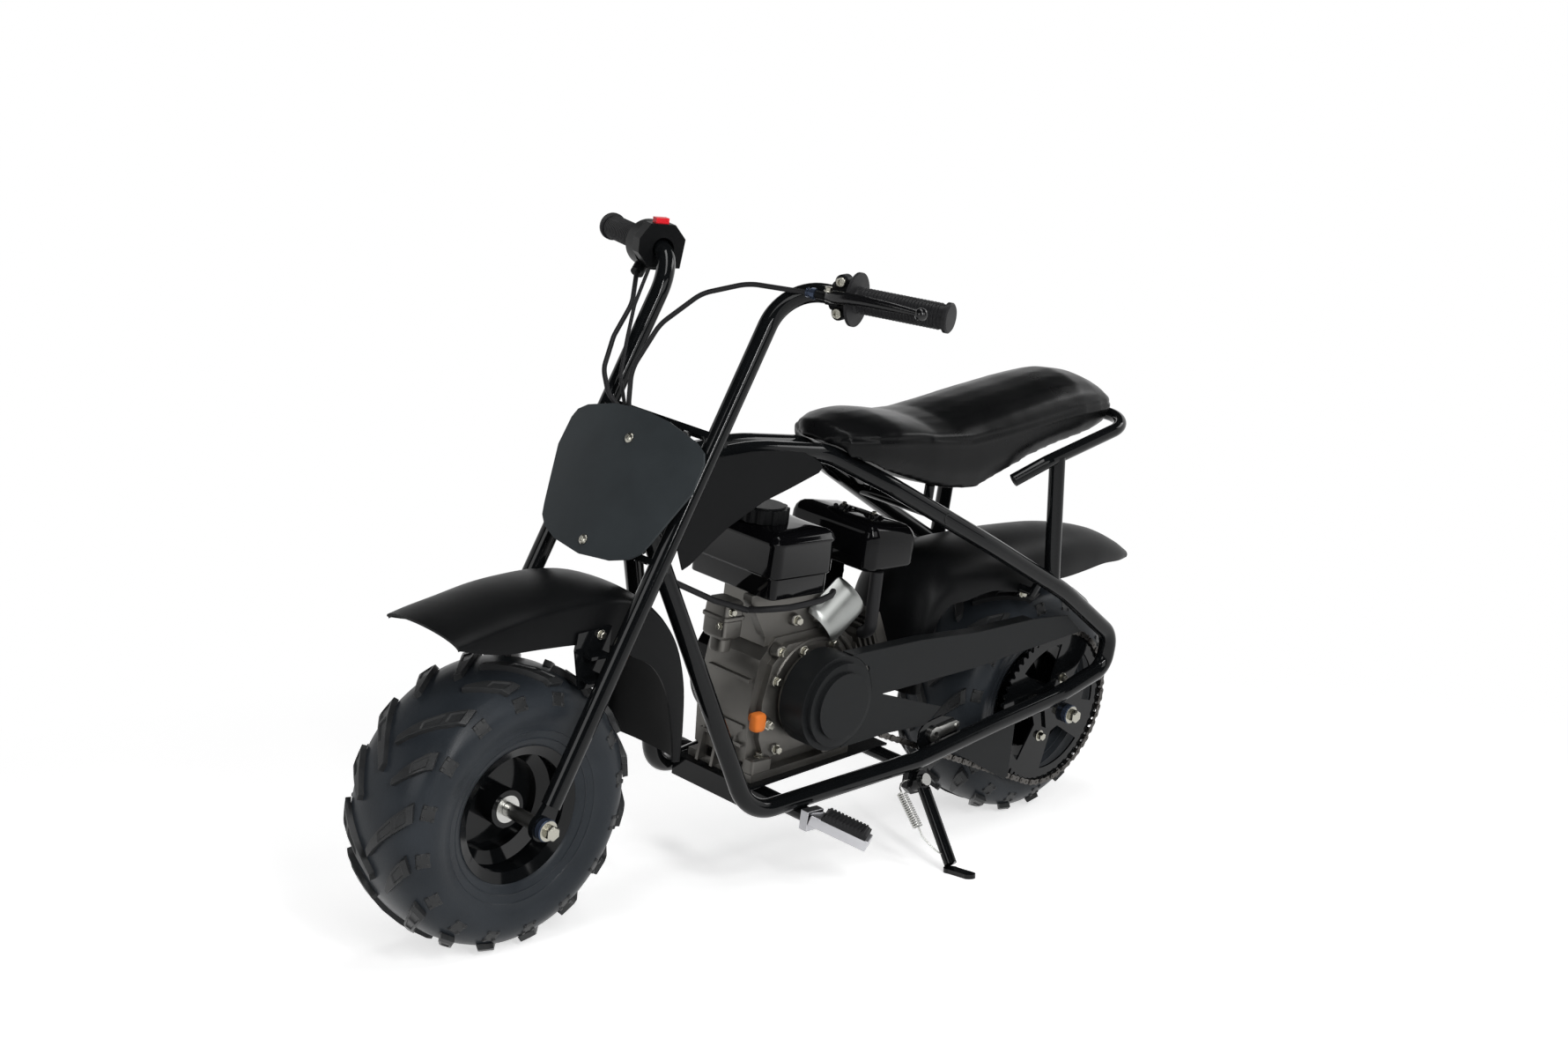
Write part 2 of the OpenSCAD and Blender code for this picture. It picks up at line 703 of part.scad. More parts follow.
module at_front() { translate([wheelbase, 0, wheel_z]) children(); }
module at_rear() { translate([0, 0, wheel_z]) children(); }

// chain loop round both sprockets
drive_len = norm([crank_x, crank_z - wheel_z]);
drive_tilt = atan2(crank_z - wheel_z, crank_x);
wrap = acos((sprocket_r - pinion_r) / drive_len);
// chain round both sprockets, between two distances from its pitch line
module chain_loop(low, high, wide) {
    run = sqrt(drive_len * drive_len - (sprocket_r - pinion_r) * (sprocket_r - pinion_r));
    lean_run = 90 - wrap;
    rotate([0, -drive_tilt, 0]) {
        rotate([90, 0, 0]) rotate([0, 0, wrap]) rotate_extrude(angle = 360 - 2 * wrap)
            translate([sprocket_r + low + bend_skin, bend_skin - wide])
                square([high - low - 2 * bend_skin, 2 * wide - 2 * bend_skin]);
        translate([drive_len, 0, 0]) rotate([90, 0, 0]) rotate([0, 0, -wrap])
            rotate_extrude(angle = 2 * wrap)
                translate([pinion_r + low + bend_skin, bend_skin - wide])
                    square([high - low - 2 * bend_skin, 2 * wide - 2 * bend_skin]);
        rotate([0, lean_run, 0]) translate([-bend_lap, -wide, sprocket_r + low])
            cube([run + 2 * bend_lap, 2 * wide, high - low]);
        mirror([0, 0, 1]) rotate([0, lean_run, 0]) translate([-bend_lap, -wide, sprocket_r + low])
            cube([run + 2 * bend_lap, 2 * wide, high - low]);
    }
}

module chain() {
    color("dimgray") translate([0, chain_y, wheel_z]) chain_loop(-link_h, link_h, chain_half);
}

// bolts round the side cover of the crankcase, columns: direction from the crank, distance
case_bolts = [[20, 74], [68, 66], [115, 72], [160, 70], [205, 78], [335, 82]];

module engine_case() {
    color("gray") union() {
        slab(-58, 40) polygon([[412, 172], [566, 162], [584, 176], [590, 250], [580, 318],
            [556, 346], [440, 352], [404, 326], [404, 230]]);
        slab(40, 50) polygon([[424, 196], [560, 180], [574, 210], [576, 262], [566, 312],
            [540, 338], [446, 342], [420, 310]]);
        slab(-66, 56) polygon([[400, 165.9], [586, 152.2], [586, 163], [400, 176]]);
        for (z = [196, 222, 286]) translate([576, -44, z]) cube([15, 78, 5]);
        for (y = [-40, -12, 18]) slab(y, y + 5) polygon([[580, 160], [598, 156], [594, 190],
            [586, 214]]);
        for (q = case_bolts) translate([crank_x + q[1] * cos(q[0]), 0, crank_z + q[1] * sin(q[0])])
            rod([0, 40, 0], [0, 55, 0], 8);
        rod([crank_x, 40, crank_z], [crank_x, 57, crank_z], 46);
        rod([crank_x, 56, crank_z], [crank_x, 61.8, crank_z], drum_r - 3);
        rod([crank_x, 40, crank_z], [crank_x, chain_y + chain_half, crank_z],
            pinion_r - link_h - 0.6);
        slab(-50, 36) polygon([[470, 345], [572, 335], [572, 408.5], [470, 408.5]]);
        slab(20, 36) polygon([[560, 330], [606, 400], [606, 408.5], [560, 408.5]]);
    }
}

// cooling fins and head of the cylinder, which leans to the rear
module cylinder_head() {
    color("gray") difference() {
        translate([403.6, 0, 296]) rotate([0, -fin_tilt, 0]) union() {
            translate([-26, -36, -20]) cube([52, 72, 80]);
            for (i = [-1:4]) translate([-44, -48, 8 + i * 9]) cube([88, 96, 4]);
            translate([-36, -46, 50]) cube([72, 92, 12]);
            translate([-28, -36, 62]) cube([56, 72, 14]);
        }
        translate([403.9, -80, 100]) cube([200, 160, 400]);
    }
}

module recoil_cover() {
    color("black") difference() {
        union() {
            rod([crank_x, -58, crank_z], [crank_x, -96, crank_z], 82);
            rod([crank_x, -96, crank_z], [crank_x, -106, crank_z], 62);
        }
        for (a = [0:30:330]) translate([crank_x, 0, crank_z]) rotate([0, a, 0])
            translate([38, -120, -3]) cube([16, 20, 6]);
    }
}

module fuel_tank() {
    color("black") union() {
        slab(-97, 70) polygon([[493, 437], [605, 437], [606, 486], [602, 494], [594, 498],
            [504, 498], [496, 494], [492, 486]]);
        slab(-88, 60) polygon([[500, 409], [596, 409], [600, 437], [496, 437]]);
    }
}

module fuel_cap() {
    color("dimgray") translate([564, -6, 498]) difference() {
        union() {
            cylinder(h = 19, r = cap_r);
            cylinder(h = 21, r = cap_r - 6);
        }
        for (a = [0:30:330]) rotate(a) translate([cap_r + 5, 0, -1]) cylinder(h = 23, r = 8);
    }
}

module air_box() {
    color("black") union() {
        slab(-90, 70) polygon([[330, 428], [424, 428], [426, 480], [420, 492], [406, 498],
            [350, 488], [334, 480], [328, 468]]);
        for (q = air_knobs) translate([q[0], q[1], q[2]]) cylinder(h = 12, r = 11);
    }
}
// round knobs on the air box, columns: x, y, bottom
air_knobs = [[392, -18, 488], [388, 34, 487]];

module muffler() {
    color("black") union() {
        slab(-104, -58) polygon([[330, 340], [340, 330], [396, 330], [402, 340], [402, 412],
            [392, 420], [340, 420], [330, 410]]);
        rod([344, -82, 380], [312, -82, 380], 9);
        rod([360, -62, 341], [360, -46.3, 341], 8);
    }
}

module heat_shield() {
    color("silver") union() {
        slab(60, 62) polygon([[436, 344], [496, 372], [478, 404], [424, 380]]);
        slab(40, 62) polygon([[424, 380], [478, 404], [477, 406], [423, 382]]);
        slab(40, 62) polygon([[436, 344.5], [496, 372], [497, 370], [437, 342.6]]);
    }
}

module intake_elbow() {
    color("dimgray") tube([[400, 64, 427.8, 0], [398, 64, 338, 15], [398, 48.3, 338, 0]], 9);
}

module oil_plug() {
    color("orange") translate([583, 40, 240]) union() {
        rod([0, 0, 0], [0, 14, 0], 6);
        translate([-4, 12, -12]) cube([20, 14, 24]);
    }
}

module clutch_cover() {
    color("dimgray") difference() {
        union() {
            rod([crank_x, 62, crank_z], [crank_x, cover_y - 14, crank_z], drum_r);
            rod([crank_x, cover_y - 14, crank_z], [crank_x, cover_y - 6, crank_z], drum_r - 8);
            rod([crank_x, cover_y - 6, crank_z], [crank_x, cover_y, crank_z], drum_r - 20);
        }
        rod([crank_x, 60, crank_z], [crank_x, chain_y + chain_half + 3, crank_z], drum_r - 5);
        translate([crank_x - drum_r - 10, chain_y - chain_half - 4, crank_z - 62])
            cube([drum_r, 2 * chain_half + 7, 110]);
    }
}

module chain_guard() {
    color("dimgray") difference() {
        union() {
            slab(guard_y - 2, guard_y) polygon([[470, 331], [330, 334], [213, 330], [90, 334], [10, 330],
                [-30, 300], [60, 292], [213, 276], [400, 266], [270, 228], [300, 205], [381, 206],
                [470, 200]]);
            slab(guard_y - 20, guard_y) polygon([[470, 331], [330, 334], [213, 330], [90, 334],
                [90, 331.5], [213, 327.5], [330, 331.5], [470, 328.5]]);
        }
        rod([crank_x, 0, crank_z], [crank_x, 200, crank_z], drum_r + 0.3);
        rod([440, 0, 306], [440, 200, 306], 6);
    }
}

module lower_guard() {
    color("dimgray") slab(loop_y - tube_r - 2.3, loop_y - tube_r - 0.2)
        polygon([[236, 158], [228, 180], [98, 201], [94, 95], [101, 90]]);
}

module brake_bracket() {
    color("black") difference() {
        union() {
            slab(98, 101) polygon([[306, 176], [300, 168], [256, 168], [224, 178], [222, 190],
                [236, 206], [262, 212], [296, 206], [306, 196]]);
            slab(98, 112) polygon([[296, 164], [262, 168], [262, 173], [296, 171]]);
        }
        rod(side_point(9, 1), side_point(10, 1), tube_r + 0.05);
        rod([245, 90, 196], [245, 110, 196], 4);
    }
}

module brake_arm() {
    color("silver") difference() {
        union() {
            rod([275, 101, 187], [275, 106, 187], 12);
            slab(101, 104) polygon([[280, 178], [226, 188], [224, 198], [232, 202], [282, 196]]);
            rod([230, 101, 194], [230, 106, 194], 4);
        }
        rod([275, 90, 187], [275, 120, 187], 5);
    }
}

throttle_end = grip_spot(housing_in + 2, 22, -36, -1);
module throttle_cable() {
    color("black") tube([[throttle_end[0] + 0.6, throttle_end[1], throttle_end[2] - 0.8, 0],
        [722, -128, 764, 60], [760, -114, 726, 60], [791, -92, 690, 40], [797, -72, 664, 25],
        [786, -48, 640, 0]], 3.2);
}

module switch_wire() {
    color("black") tube([[692, -137, 806, 0], [726, -119, 764, 60], [757, -92, 728, 60],
        [780, -72, 686, 40], [782, -56, 652, 0]], 2.4);
}

module brake_cable() {
    color("black") tube([[bar_point(perch_y - 16)[0] + 23, perch_y - 8.8, grip_z + 1, 0],
        [715, 67, 828, 80], [742, 16, 806, 60], [768, -24, 760, 60], [788, -44, 700, 60],
        [790, -40, 650, 30], [778, -30, 634, 0]], 3.2);
}

// wires and cable on the frame, from the steering head down to the engine
module wire_loom() {
    color("black") tube([[755.5, 13.4, 470, 0], [740.4, 22.4, 440, 30], [663, 26, 406, 80],
        [606.3, 30, 388, 0]], 4);
}

// a point above the ground as parked, in the frame of the upright bike
function grounded(x, y, z) = [x, y * cos(lean) - (z - crown_drop) * sin(lean),
    y * sin(lean) + (z - crown_drop) * cos(lean)];
stand_pin = [stand_x, loop_y + 2, stand_z];
stand_foot = grounded(stand_x + 16, stand_reach, 11);
spring_top = [stand_x + 24, loop_y + 8, stand_z - 6];
spring_low = [stand_x + 30, loop_y + 30, stand_z - 46];

// turned about the tilted bolt of the stand, with the bolt along Z
module at_stand() {
    translate(stand_pin) rotate([-90 + stand_tilt, 0, 0]) children();
}

module side_stand() {
    color("black") difference() {
        union() {
            at_stand() translate([0, 0, 4.3]) cylinder(h = 7, r = 13.5);
            rod(stand_pin + [0, 8, 0], stand_foot, stand_r);
            foot_plate();
        }
        at_stand() translate([0, 0, -30]) cylinder(h = 80, r = 5.3);
        at_stand() translate([0, 0, -26]) cylinder(h = 30.3, r = 60);
        at_stand() translate([0, 0, 11.3]) cylinder(h = 12, r = 13);
    }
}

module foot_plate() {
    p = grounded(stand_x + 16, stand_reach, 0);
    translate(p) rotate([lean, 0, 0]) union() {
        cylinder(h = 6, r = 10);
        translate([4, 36, 0]) cylinder(h = 6, r = 9);
        rotate(-6) translate([-9, 0, 0]) cube([18, 36, 6]);
    }
}

// spring that holds the stand down or up, as its plain outline
module stand_spring() {
    color("silver") union() {
        rod(spring_top, spring_low, spring_r);
        rod(spring_top * 0.9 + spring_low * 0.1, [stand_x + 17.5, loop_y + 3, stand_z + 8], 2);
        rod(spring_low * 0.9 + spring_top * 0.1, stand_foot + [7.5, -23, 21], 2);
    }
}

module stand_bolt() {
    color("silver") at_stand() union() {
        translate([0, 0, -10]) cylinder(h = 21.4, r = 4.95);
        translate([0, 0, 11.6]) cylinder(h = 6, r = 8.5);
        translate([0, 0, 11.2]) cylinder(h = 1, r = 4.95);
    }
}

module stand_bracket() {
    color("black") difference() {
        union() {
            slab(loop_y - 10, loop_y)
                polygon([[298, 153.4], [337, 147.6], [337, 122], [326, 112], [302, 112]]);
            at_stand() translate([0, 0, -12]) cylinder(h = 16, r = 13);
        }
        at_stand() translate([0, 0, 4]) cylinder(h = 20, r = 14.5);
        at_stand() translate([0, 0, -40]) cylinder(h = 80, r = 5);
    }
}

parked() loop(1);  // loop_left
parked() loop(-1);  // loop_right
parked() head_tube();
parked() cross_bar(342, 157.5, 10, cross_r - 1.5, 108);  // engine_bar
parked() cross_bar(peg_x, peg_z, 10, cross_r, 113.9);  // peg_bar
parked() engine_plate();
parked() stand_bracket();
parked() stand_bolt();
parked() for (s = [-1, 1]) footpeg(s);  // footpegs
parked() for (s = [-1, 1]) peg_rubber(s);  // peg_rubbers
parked() seat();
parked() seat_hoop();
parked() for (s = [-1, 1]) strut(s);  // seat_struts
parked() seat_bracket();
parked() for (s = [-1, 1]) side_panel(s);  // side_panels
parked() rear_fender();
parked() engine_case();
parked() cylinder_head();
parked() muffler();
parked() recoil_cover();
parked() fuel_tank();
parked() fuel_cap();
parked() air_box();
parked() heat_shield();
parked() intake_elbow();
parked() oil_plug();
parked() clutch_cover();
parked() chain_guard();
parked() chain();
parked() lower_guard();
parked() brake_bracket();
parked() brake_arm();
parked() rear_axle();
parked() fork_bar();
parked() number_plate();
parked() front_fender();
parked() fender_brackets();
parked() plate_clamp();
parked() front_axle();
parked() grip(1);  // grip_left
parked() grip(-1);  // grip_right
parked() throttle_housing();
parked() switch_box();
parked() kill_switch();
parked() lever_perch();
parked() brake_lever();
parked() throttle_cable();
parked() switch_wire();
parked() brake_cable();
parked() wire_loom();
parked() at_front() tyre();  // front_tyre
parked() at_front() rim();  // front_rim
parked() at_front() bearings();  // front_bearings
parked() at_rear() tyre();  // rear_tyre
parked() at_rear() rim();  // rear_rim
parked() at_rear() bearings();  // rear_bearings
parked() at_rear() sprocket();
parked() side_stand();
parked() stand_spring();
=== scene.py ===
# %% [markdown]
# # Dressing a small off-road minibike
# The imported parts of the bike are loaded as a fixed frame. Their shapes are exact, so this lesson
# adds only what a camera sees beyond them: paint, rubber, cast metal, tread, stitching and fasteners.
# Every piece is placed by measures of the upright bike, in millimetres, and leans with the frame.

# %% Load the frame
import json
import math

import bmesh
import bpy
import numpy as np
from mathutils import Matrix, Vector


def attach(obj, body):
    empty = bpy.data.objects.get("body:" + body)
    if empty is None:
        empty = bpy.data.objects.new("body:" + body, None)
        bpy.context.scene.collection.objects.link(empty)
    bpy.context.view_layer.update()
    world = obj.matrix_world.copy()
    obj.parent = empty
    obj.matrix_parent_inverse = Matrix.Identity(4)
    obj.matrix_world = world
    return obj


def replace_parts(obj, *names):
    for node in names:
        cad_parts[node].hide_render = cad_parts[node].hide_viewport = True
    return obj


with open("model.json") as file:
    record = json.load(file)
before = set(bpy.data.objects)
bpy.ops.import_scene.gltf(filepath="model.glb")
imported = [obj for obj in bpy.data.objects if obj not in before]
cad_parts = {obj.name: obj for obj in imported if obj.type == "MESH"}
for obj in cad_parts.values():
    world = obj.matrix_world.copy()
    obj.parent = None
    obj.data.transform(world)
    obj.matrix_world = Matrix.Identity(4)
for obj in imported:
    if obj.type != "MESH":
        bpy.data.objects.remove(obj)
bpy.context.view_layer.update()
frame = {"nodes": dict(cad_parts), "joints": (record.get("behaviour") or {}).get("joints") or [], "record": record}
nodes = frame["nodes"]
print("nodes in the frame:", len(nodes))

# %% [markdown]
# The bike leans on its side stand, so its parts are easiest to think of upright. `upright` turns a
# place on the upright bike (origin on the ground under the rear axle) into a place in the frame. The
# lean and the shift are read from where the wheels really are, so they always agree with the frame.

# %% Where things are on the upright bike
joints = {j["name"]: j for j in frame["joints"]}
rear_hub = Vector(joints["rear_wheel_spin"]["pos_m"])
front_hub = Vector(joints["front_wheel_spin"]["pos_m"])
across = Vector(joints["rear_wheel_spin"]["axis"]).normalized()
LEAN = math.asin(-across.z)
WHEELBASE = (front_hub - rear_hub).length
WHEEL_R, HUB_Z = 0.183, 183  # height of both hubs on the upright bike, in metres and in millimetres
upright = (Matrix.Translation(rear_hub) @ Matrix.Rotation(-LEAN, 4, "X")
           @ Matrix.Translation((0, 0, -WHEEL_R)))

print(f"lean {math.degrees(LEAN):.2f} degrees, wheelbase {WHEELBASE * 1000:.0f} mm")

# %% [markdown]
# The photograph was taken from the front left, a little above the seat. Its camera was solved from
# the wheels, the fork and the grips, and is given here as a place, three angles and a focal length.

# %% Camera
CAMERA_AT = rear_hub + Vector((2.76118, 2.24691, 0.70760))
TURN, DOWN, ROLL = math.radians(224.47), math.radians(7.37), math.radians(0.14)
FOCAL = 54.88

ahead = Vector((math.cos(TURN) * math.cos(DOWN), math.sin(TURN) * math.cos(DOWN), -math.sin(DOWN)))
right = ahead.cross(Vector((0, 0, 1))).normalized()
rolled = right * math.cos(ROLL) + right.cross(ahead) * math.sin(ROLL)
above = rolled.cross(ahead)
camera = bpy.data.objects.new("camera", bpy.data.cameras.new("camera"))
bpy.context.scene.collection.objects.link(camera)
camera.matrix_world = Matrix.Translation(CAMERA_AT) @ Matrix(
    (rolled, above, -ahead)).transposed().to_4x4()
camera.data.lens, camera.data.sensor_width = FOCAL, 36
camera.data.clip_end = 60
bpy.context.scene.camera = camera
print("camera", [round(c, 3) for c in CAMERA_AT])

# %% [markdown]
# A white studio: a wide pale floor, a world that the camera sees as white, five soft lamps and three
# dark cards. Black paint and rubber show only what they reflect, so the lamps lie where the photograph
# has its long highlights: overhead, at the left, in front, a narrow strip along the tubes, and behind.
# The cards lie where it has its deep blacks.

# %% Stage and lamps
scene = bpy.context.scene
scene.view_settings.view_transform = "Standard"
world = bpy.data.worlds.new("studio")
scene.world = world
world.use_nodes = True
tree = world.node_tree


def white_rays(t):
    """1 for the rays that should meet a white background: camera, mirror and see-through rays."""
    light_path = t.nodes.new("ShaderNodeLightPath")
    either = light_path.outputs["Is Camera Ray"]
    for ray in ("Is Glossy Ray", "Is Transmission Ray"):
        larger = t.nodes.new("ShaderNodeMath")
        larger.operation = "MAXIMUM"
        t.links.new(either, larger.inputs[0])
        t.links.new(light_path.outputs[ray], larger.inputs[1])
        either = larger.outputs[0]
    return either


def between(t, source, low, high, a=0.0, b=1.0, curve="LINEAR"):
    """Shader value that runs from low to high while source runs from a to b."""
    r = t.nodes.new("ShaderNodeMapRange")
    r.interpolation_type = curve
    r.inputs["From Min"].default_value, r.inputs["From Max"].default_value = a, b
    r.inputs["To Min"].default_value, r.inputs["To Max"].default_value = low, high
    t.links.new(source, r.inputs["Value"])
    return r.outputs["Result"]


DIM_WORLD = 0.32  # strength of the white world for the rays that only light the bike
back = tree.nodes["Background"]
back.inputs["Color"].default_value = (1, 1, 1, 1)
tree.links.new(between(tree, white_rays(tree), DIM_WORLD, 1.0), back.inputs["Strength"])


def lamp(name, place, aim, size, watts):
    """Rectangular area lamp at place that points at aim."""
    data = bpy.data.lights.new(name, "AREA")
    data.shape, data.size, data.size_y, data.energy = "RECTANGLE", size[0], size[1], watts
    ob = bpy.data.objects.new(name, data)
    scene.collection.objects.link(ob)
    ob.location = place
    ob.rotation_euler = (Vector(aim) - Vector(place)).to_track_quat("-Z", "Y").to_euler()


lamp("top", (0.2, 0.5, 3.1), (0, 0, 0.4), (0.6, 2.6), 30)
lamp("left", (0.2, 3.4, 1.5), (0, 0, 0.4), (2.6, 1.8), 36)
lamp("front", (3.4, 0.6, 1.4), (0.2, 0, 0.4), (1.8, 1.6), 30)
lamp("strip", (1.6, 3.0, 1.9), (0.1, 0, 0.5), (0.16, 2.4), 60)
lamp("rear", (-3.0, 1.0, 2.4), (0, 0, 0.5), (1.6, 0.8), 16)

# dark cards, as photographers hang round black paint: one over the lamps, one beyond the left lamp
# and one in front. They show in the paint as deep black between the lamps' highlights.
CARD_LOW, CARD_TOP = 0.02, 3.7
card_look = bpy.data.materials.new("card_cloth")
card_look.use_nodes = True
card_tree = card_look.node_tree
weave = card_tree.nodes.new("ShaderNodeTexNoise")
weave.inputs["Scale"].default_value = 30
cloth_node = card_tree.nodes["Principled BSDF"]
cloth_node.inputs["Roughness"].default_value = 0.95
card_tree.links.new(between(card_tree, weave.outputs["Fac"], 0.03, 0.05), cloth_node.inputs["Base Color"])
CARDS = {"ceiling_card": [(-5, -5, CARD_TOP), (5, -5, CARD_TOP), (5, 5, CARD_TOP), (-5, 5, CARD_TOP)]}
for name, ends in (("left_card", [(-4, 4.3), (5, 4.3)]), ("front_card", [(4.6, -2.5), (4.6, 4.3)])):
    CARDS[name] = [(x, y, CARD_LOW) for x, y in ends] + [(x, y, CARD_TOP) for x, y in reversed(ends)]
for name, card_corners in CARDS.items():
    card_mesh = bpy.data.meshes.new(name)
    card_mesh.from_pydata(card_corners, [], [(0, 1, 2, 3)])
    card_mesh.materials.append(card_look)
    card = bpy.data.objects.new(name, card_mesh)
    scene.collection.objects.link(card)
    card.visible_camera = False

FLOOR_HALF, FLOOR_Z = 14.0, -0.0005
LIT_WITHIN, WHITE_BEYOND = 0.7, 1.7  # metres from the middle: shadows show fully within, not beyond
floor_mesh = bpy.data.meshes.new("floor")
corners = [(sx * FLOOR_HALF, sy * FLOOR_HALF, FLOOR_Z) for sx, sy in ((-1, -1), (1, -1), (1, 1), (-1, 1))]
floor_mesh.from_pydata(corners, [], [(0, 1, 2, 3)])
floor = bpy.data.objects.new("floor", floor_mesh)
scene.collection.objects.link(floor)
floor_look = bpy.data.materials.new("floor")
floor_look.use_nodes = True
ft = floor_look.node_tree
lit = ft.nodes["Principled BSDF"]
lit.inputs["Base Color"].default_value = (0.80, 0.80, 0.80, 1)
lit.inputs["Specular IOR Level"].default_value = 0.0
grain = ft.nodes.new("ShaderNodeTexNoise")
grain.inputs["Scale"].default_value = 40
ft.links.new(between(ft, grain.outputs["Fac"], 0.85, 0.95), lit.inputs["Roughness"])
where = ft.nodes.new("ShaderNodeTexCoord")
reach = ft.nodes.new("ShaderNodeVectorMath")
reach.operation = "LENGTH"
ft.links.new(where.outputs["Object"], reach.inputs[0])
far = between(ft, reach.outputs["Value"], 0.0, 1.0, LIT_WITHIN, WHITE_BEYOND, "SMOOTHSTEP")
white, shade_add, fade, by_ray = (ft.nodes.new(kind) for kind in (
    "ShaderNodeEmission", "ShaderNodeEmission", "ShaderNodeMixShader", "ShaderNodeMixShader"))
near = ft.nodes.new("ShaderNodeAddShader")
white.inputs["Strength"].default_value, shade_add.inputs["Strength"].default_value = 1.0, 0.62
ft.links.new(lit.outputs[0], near.inputs[0])
ft.links.new(shade_add.outputs[0], near.inputs[1])
ft.links.new(far, fade.inputs["Fac"])
ft.links.new(near.outputs[0], fade.inputs[1])
ft.links.new(white.outputs[0], fade.inputs[2])
ft.links.new(white_rays(ft), by_ray.inputs["Fac"])
ft.links.new(lit.outputs[0], by_ray.inputs[1])
ft.links.new(fade.outputs[0], by_ray.inputs[2])
ft.links.new(by_ray.outputs[0], ft.nodes["Material Output"].inputs["Surface"])
floor.data.materials.append(floor_look)
print("floor, five lamps and three dark cards")

# %% [markdown]
# One helper makes every finish: a base colour that drifts a little, a roughness that drifts between
# two values, and a fine bump. Real black plastic, rubber and paint differ mostly in these three, so
# the helper takes them as plain numbers, with sizes in millimetres on the object. A low index of
# refraction keeps the black finishes from mirroring the white studio.

# %% Finishes
DRIFT = 0.12  # share by which a colour gets darker and lighter
NOISE_SPAN = (0.3, 0.7)  # nearly all values of a noise texture lie between these


def finish(name, colour, rough, grain_mm, bump, metal=0.0, drift_mm=60.0, dust=0.0, ior=1.2):
    """Material: colour, (low, high) roughness, grain size and strength, drift size and dust."""
    m = bpy.data.materials.new(name)
    m.use_nodes = True
    t = m.node_tree
    s = t.nodes["Principled BSDF"]
    s.inputs["Metallic"].default_value = metal
    s.inputs["IOR"].default_value = ior
    where = t.nodes.new("ShaderNodeTexCoord")

    def noise(size_mm, detail):
        n = t.nodes.new("ShaderNodeTexNoise")
        n.inputs["Scale"].default_value = 1000.0 / size_mm
        n.inputs["Detail"].default_value = detail
        t.links.new(where.outputs["Object"], n.inputs["Vector"])
        return n

    cloud, fine = noise(drift_mm, 4.0), noise(grain_mm, 2.0)
    shade = t.nodes.new("ShaderNodeMix")
    shade.data_type = "RGBA"
    shade.inputs["A"].default_value = [c * (1 - DRIFT) for c in colour] + [1]
    shade.inputs["B"].default_value = [min(1, c * (1 + DRIFT) + dust) for c in colour] + [1]
    t.links.new(between(t, cloud.outputs["Fac"], 0, 1, *NOISE_SPAN), shade.inputs["Factor"])
    t.links.new(shade.outputs["Result"], s.inputs["Base Color"])
    t.links.new(between(t, cloud.outputs["Fac"], *rough, *NOISE_SPAN), s.inputs["Roughness"])
    bumps = t.nodes.new("ShaderNodeBump")
    bumps.inputs["Strength"].default_value = bump
    bumps.inputs["Distance"].default_value = grain_mm / 4000.0
    t.links.new(fine.outputs["Fac"], bumps.inputs["Height"])
    t.links.new(bumps.outputs["Normal"], s.inputs["Normal"])
    return m


LOOKS = (  # name, colour, (low, high) roughness, grain in millimetres, bump strength, other values
    ("frame_paint", (0.004, 0.0045, 0.005), (0.06, 0.10), 30, 0.01, dict(ior=1.3)),
    ("satin_black", (0.0045, 0.0048, 0.0052), (0.34, 0.42), 0.7, 0.25, dict(ior=1.17)),
    ("guard_black", (0.0105, 0.0115, 0.0122), (0.36, 0.46), 0.7, 0.25, dict(ior=1.2)),
    ("plate_grey", (0.026, 0.031, 0.034), (0.42, 0.50), 0.7, 0.25, dict(ior=1.24)),
    ("vinyl", (0.0036, 0.0038, 0.0041), (0.26, 0.34), 1.6, 0.3, dict(ior=1.22)),
    ("tyre", (0.020, 0.024, 0.029), (0.28, 0.40), 2.0, 0.3, dict(dust=0.003, ior=1.24)),
    ("tread", (0.022, 0.023, 0.024), (0.28, 0.42), 1.6, 0.35, dict(dust=0.006, drift_mm=35, ior=1.3)),
    ("rubber", (0.010, 0.010, 0.011), (0.45, 0.60), 0.8, 0.3, dict(ior=1.3)),
    ("casting", (0.145, 0.14, 0.13), (0.32, 0.48), 0.9, 0.7, dict(metal=0.85)),
    ("tank_black", (0.0025, 0.0025, 0.003), (0.04, 0.07), 30, 0.01, dict(ior=1.25)),
    ("lever_black", (0.004, 0.004, 0.0045), (0.10, 0.16), 6, 0.05, dict(ior=1.42)),
    ("steel", (0.50, 0.50, 0.48), (0.22, 0.34), 1.2, 0.1, dict(metal=1.0)),
    ("shield_steel", (0.33, 0.34, 0.33), (0.30, 0.40), 2.4, 0.08, dict(metal=1.0)),
    ("blued_steel", (0.05, 0.065, 0.10), (0.22, 0.32), 1.0, 0.1, dict(metal=0.7)),
    ("orange", (0.72, 0.19, 0.035), (0.32, 0.42), 0.9, 0.1, {}),
    ("red", (0.75, 0.02, 0.03), (0.25, 0.35), 1.0, 0.1, {}),
    ("peg_alloy", (0.50, 0.50, 0.52), (0.30, 0.40), 0.9, 0.3, dict(metal=1.0)),
    ("zinc", (0.40, 0.39, 0.34), (0.20, 0.34), 0.8, 0.15, dict(metal=1.0)),
    ("chain_steel", (0.09, 0.085, 0.08), (0.30, 0.42), 0.8, 0.2, dict(metal=1.0)))
looks = {row[0]: finish(*row[:5], **row[5]) for row in LOOKS}
slot_of = {row["node"]: row["material_slot"] for row in frame["record"]["subparts"]}
for name, ob in nodes.items():
    ob.data.materials.clear()
    ob.data.materials.append(looks[slot_of[name]])
print("finishes:", len(looks))

# %% [markdown]
# Pieces made here are meshes in the frame's own place, so a few helpers cover them: a direction on the
# upright bike, a turned form, a strip of faces between rings, and the step that gives a mesh its
# finish and the body it moves with. Small hardware is gathered in one store per finish and body.

# %% Helpers for pieces
MM = 0.001
RAKE = math.radians(24.8)


